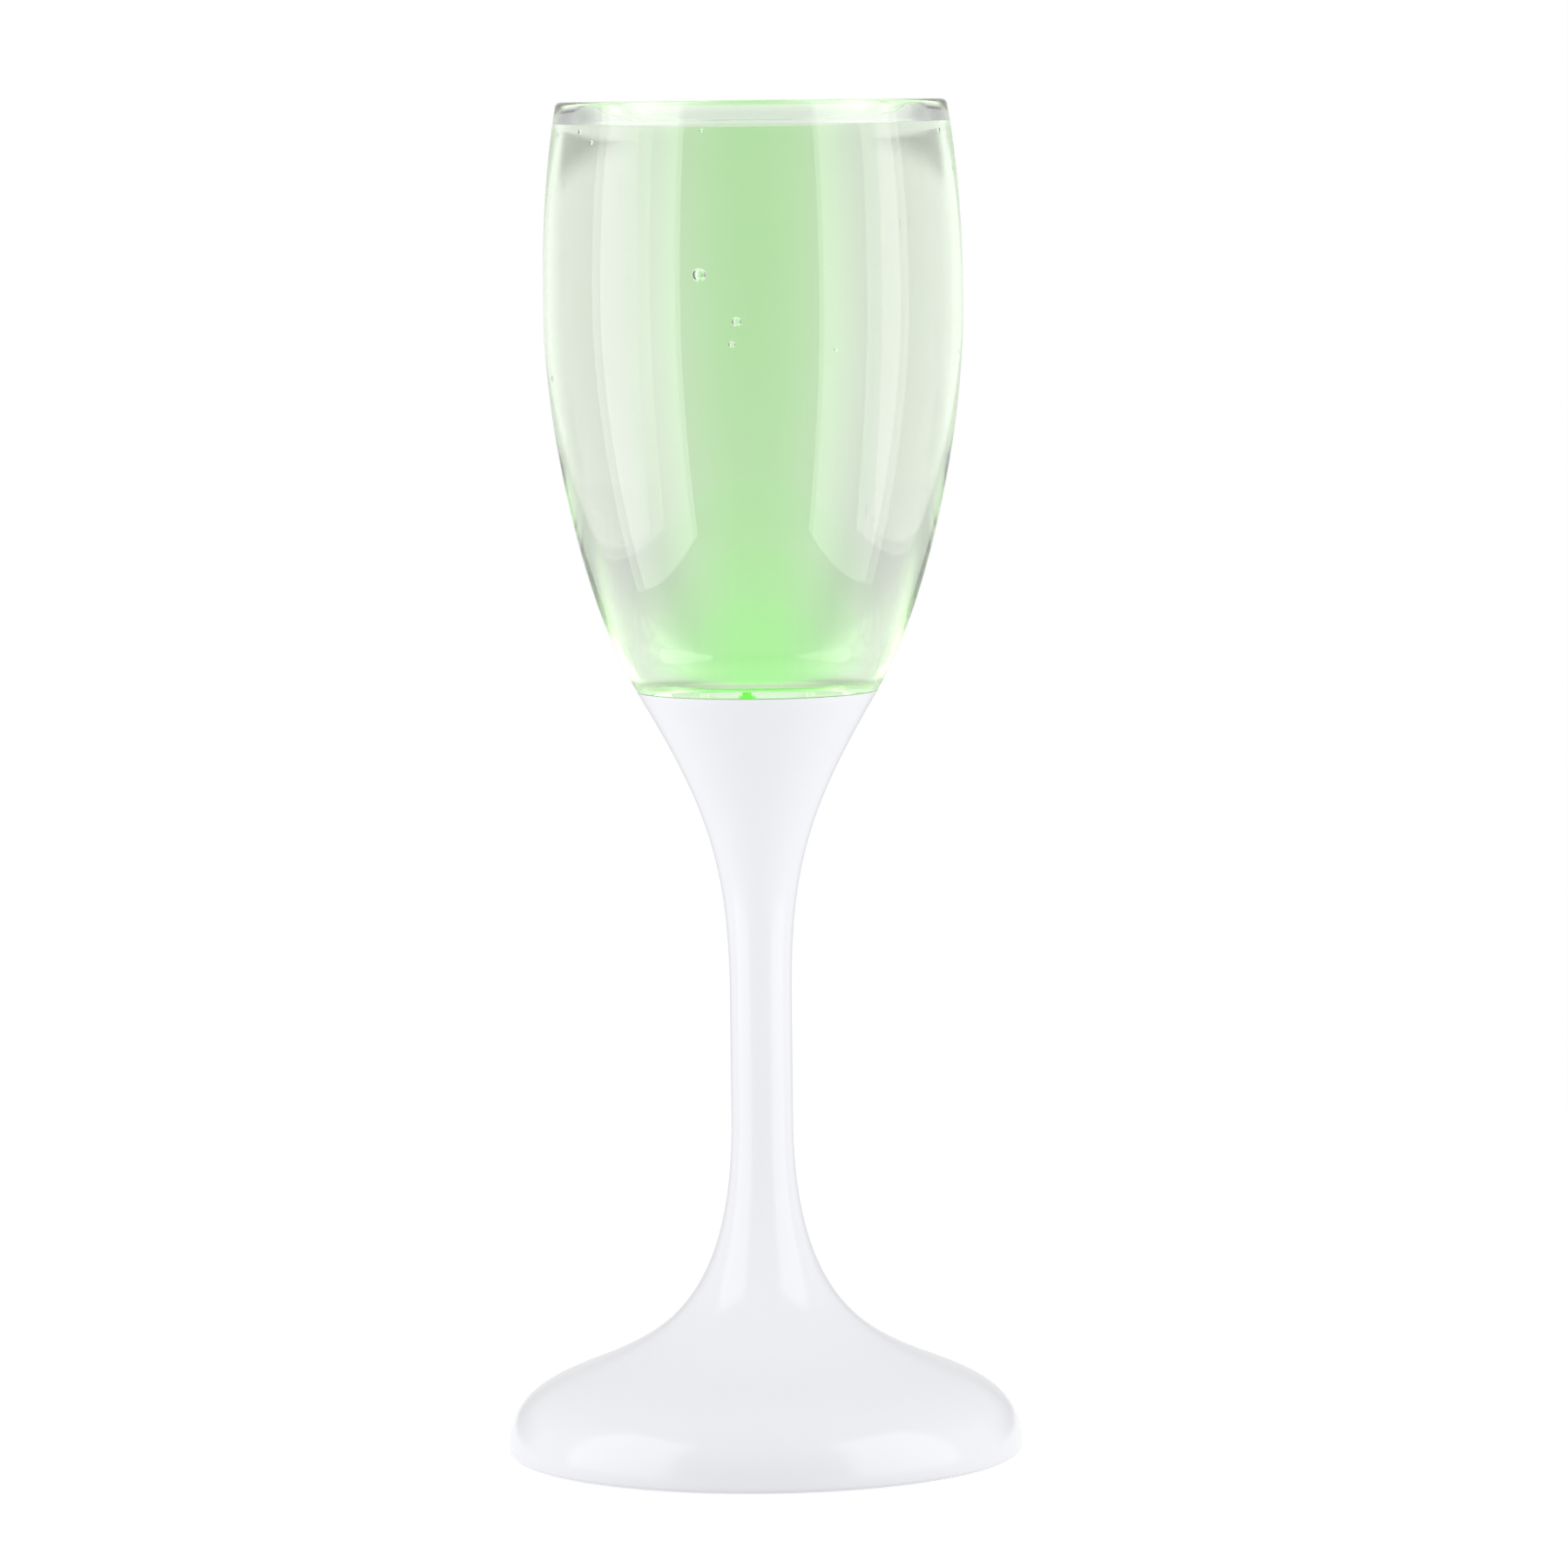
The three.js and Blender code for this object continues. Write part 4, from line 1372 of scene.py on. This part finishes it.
# Light: a soft box on each side and an even room
lightFacts = {
    "away": 0.26,
    "angle": 67,
    "width": 0.26,
    "tall": 0.36,
    "power": 0.41,
    "face": 2.2,
}
roomFacts = {
    "ambient": 0.63,
    "bounce": 0.75,  # light that a pale floor sends up
    "bounceFrom": (-0.1, 0.1),
    "sheet": 0.85,  # the white sheet behind, as the glass shows it
    "sides": 0.57,
    "front": 0.72,  # the room on the camera's side
    "behindFrom": (-0.1, 0.2),
    "sheetFrom": (0.95, 0.997),
    "table": 0.26,  # a dark table end on either side
    "tableTop": (-0.125, -0.09),
    "tableEnd": (0.25, 0.38),
    "tableFar": (0.66, 0.76),
    "tableFoot": (-0.2, -0.16),
    "ground": 1.0,
    "groundFrom": (-0.5, -0.16),
    "ceiling": 0.85,
    "ceilingFrom": (0.12, 0.32),
    "flank": 1.0,  # the room's lit side walls
    "flankFrom": (0.62, 0.85),
}


# The box as the inside of the glass mirrors it, and not straight through
def showBox(name, facts, place):
    material, start = bareMaterial(name)
    material.cycles.emission_sampling = "NONE"
    mirrored = start.add("ShaderNodeLightPath", out="Glossy Depth").step(0.4, 0.6)  # once or more
    glow = start.add("ShaderNodeEmission", {"Strength": facts["face"]}, "Emission")
    none = start.add("ShaderNodeBsdfTransparent")
    shape = bmesh.new()
    whereTo = place @ Matrix.Diagonal((facts["width"], facts["tall"], 1, 1))
    bmesh.ops.create_grid(shape, x_segments=1, y_segments=1, size=0.5, matrix=whereTo)
    face = stageMesh(name, shape, material, start, mirrored, none, glow)
    face.visible_camera = False
    face.visible_glossy = False


def softBox(name, side, facts):
    data = bpy.data.lights.new(name, "AREA")
    data.shape = "RECTANGLE"
    data.size = facts["width"]
    data.size_y = facts["tall"]
    data.energy = facts["power"]
    lamp = addObject(name, data)
    angle = math.radians(facts["angle"]) * side
    place = Vector((math.sin(angle), -math.cos(angle), 0)) * facts["away"]
    facing = place.to_track_quat("Z", "Y")
    lamp.visible_camera = False
    lamp.visible_transmission = False
    stand = Matrix.Translation((place.x, place.y, facts["tall"] / 2))
    lamp.matrix_world = stand @ facing.to_matrix().to_4x4()
    showBox(name + "Face", facts, lamp.matrix_world)


softBox("leftBox", -1, {**lightFacts, "face": 2.45})
softBox("rightBox", 1, {**lightFacts, "angle": 63.5})


def makeRoom(facts):
    world = bpy.data.worlds.new("room")
    scene.world = world
    world.use_nodes = True
    tree = world.node_tree
    tree.nodes.clear()
    start = Flow(tree)
    way = start.add("ShaderNodeTexCoord", out="Generated")
    front = start.add("ShaderNodeLightPath", out="Is Camera Ray")
    height = way.part("Z")
    aside = start.sum("ABSOLUTE", way.part("X"))
    sheet = way.part("Y").step(*facts["sheetFrom"])
    up = height.step(*facts["ceilingFrom"])
    down = 1 - height.step(*facts["groundFrom"])
    out = aside.step(*facts["flankFrom"])
    band = height.step(*facts["tableFoot"]) * (1 - height.step(*facts["tableTop"]))
    ends = aside.step(*facts["tableEnd"]) * (1 - aside.step(*facts["tableFar"]))
    table = ends * band * front.other("Is Transmission Ray")
    sides = facts["sides"]
    room = sides + up * (facts["ceiling"] - sides) + down * (facts["ground"] - sides)
    room = (room + out * (facts["flank"] - room)) * (1 - table * (1 - facts["table"]))
    behind = way.part("Y").step(*facts["behindFrom"])
    room = facts["front"] + behind * (room - facts["front"])
    seen = front + (1 - front) * (sheet * facts["sheet"] + (1 - sheet) * room)
    white = seenWhite(start)
    low = 1 - height.step(*facts["bounceFrom"])
    soft = facts["ambient"] + low * (facts["bounce"] - facts["ambient"])
    strength = white * seen + (1 - white) * soft
    sockets = {"Color": (1, 1, 1, 1), "Strength": strength}
    glow = start.add("ShaderNodeBackground", sockets, "Background")
    start.add("ShaderNodeOutputWorld", {"Surface": glow})


makeRoom(roomFacts)
print("floor and lights placed")
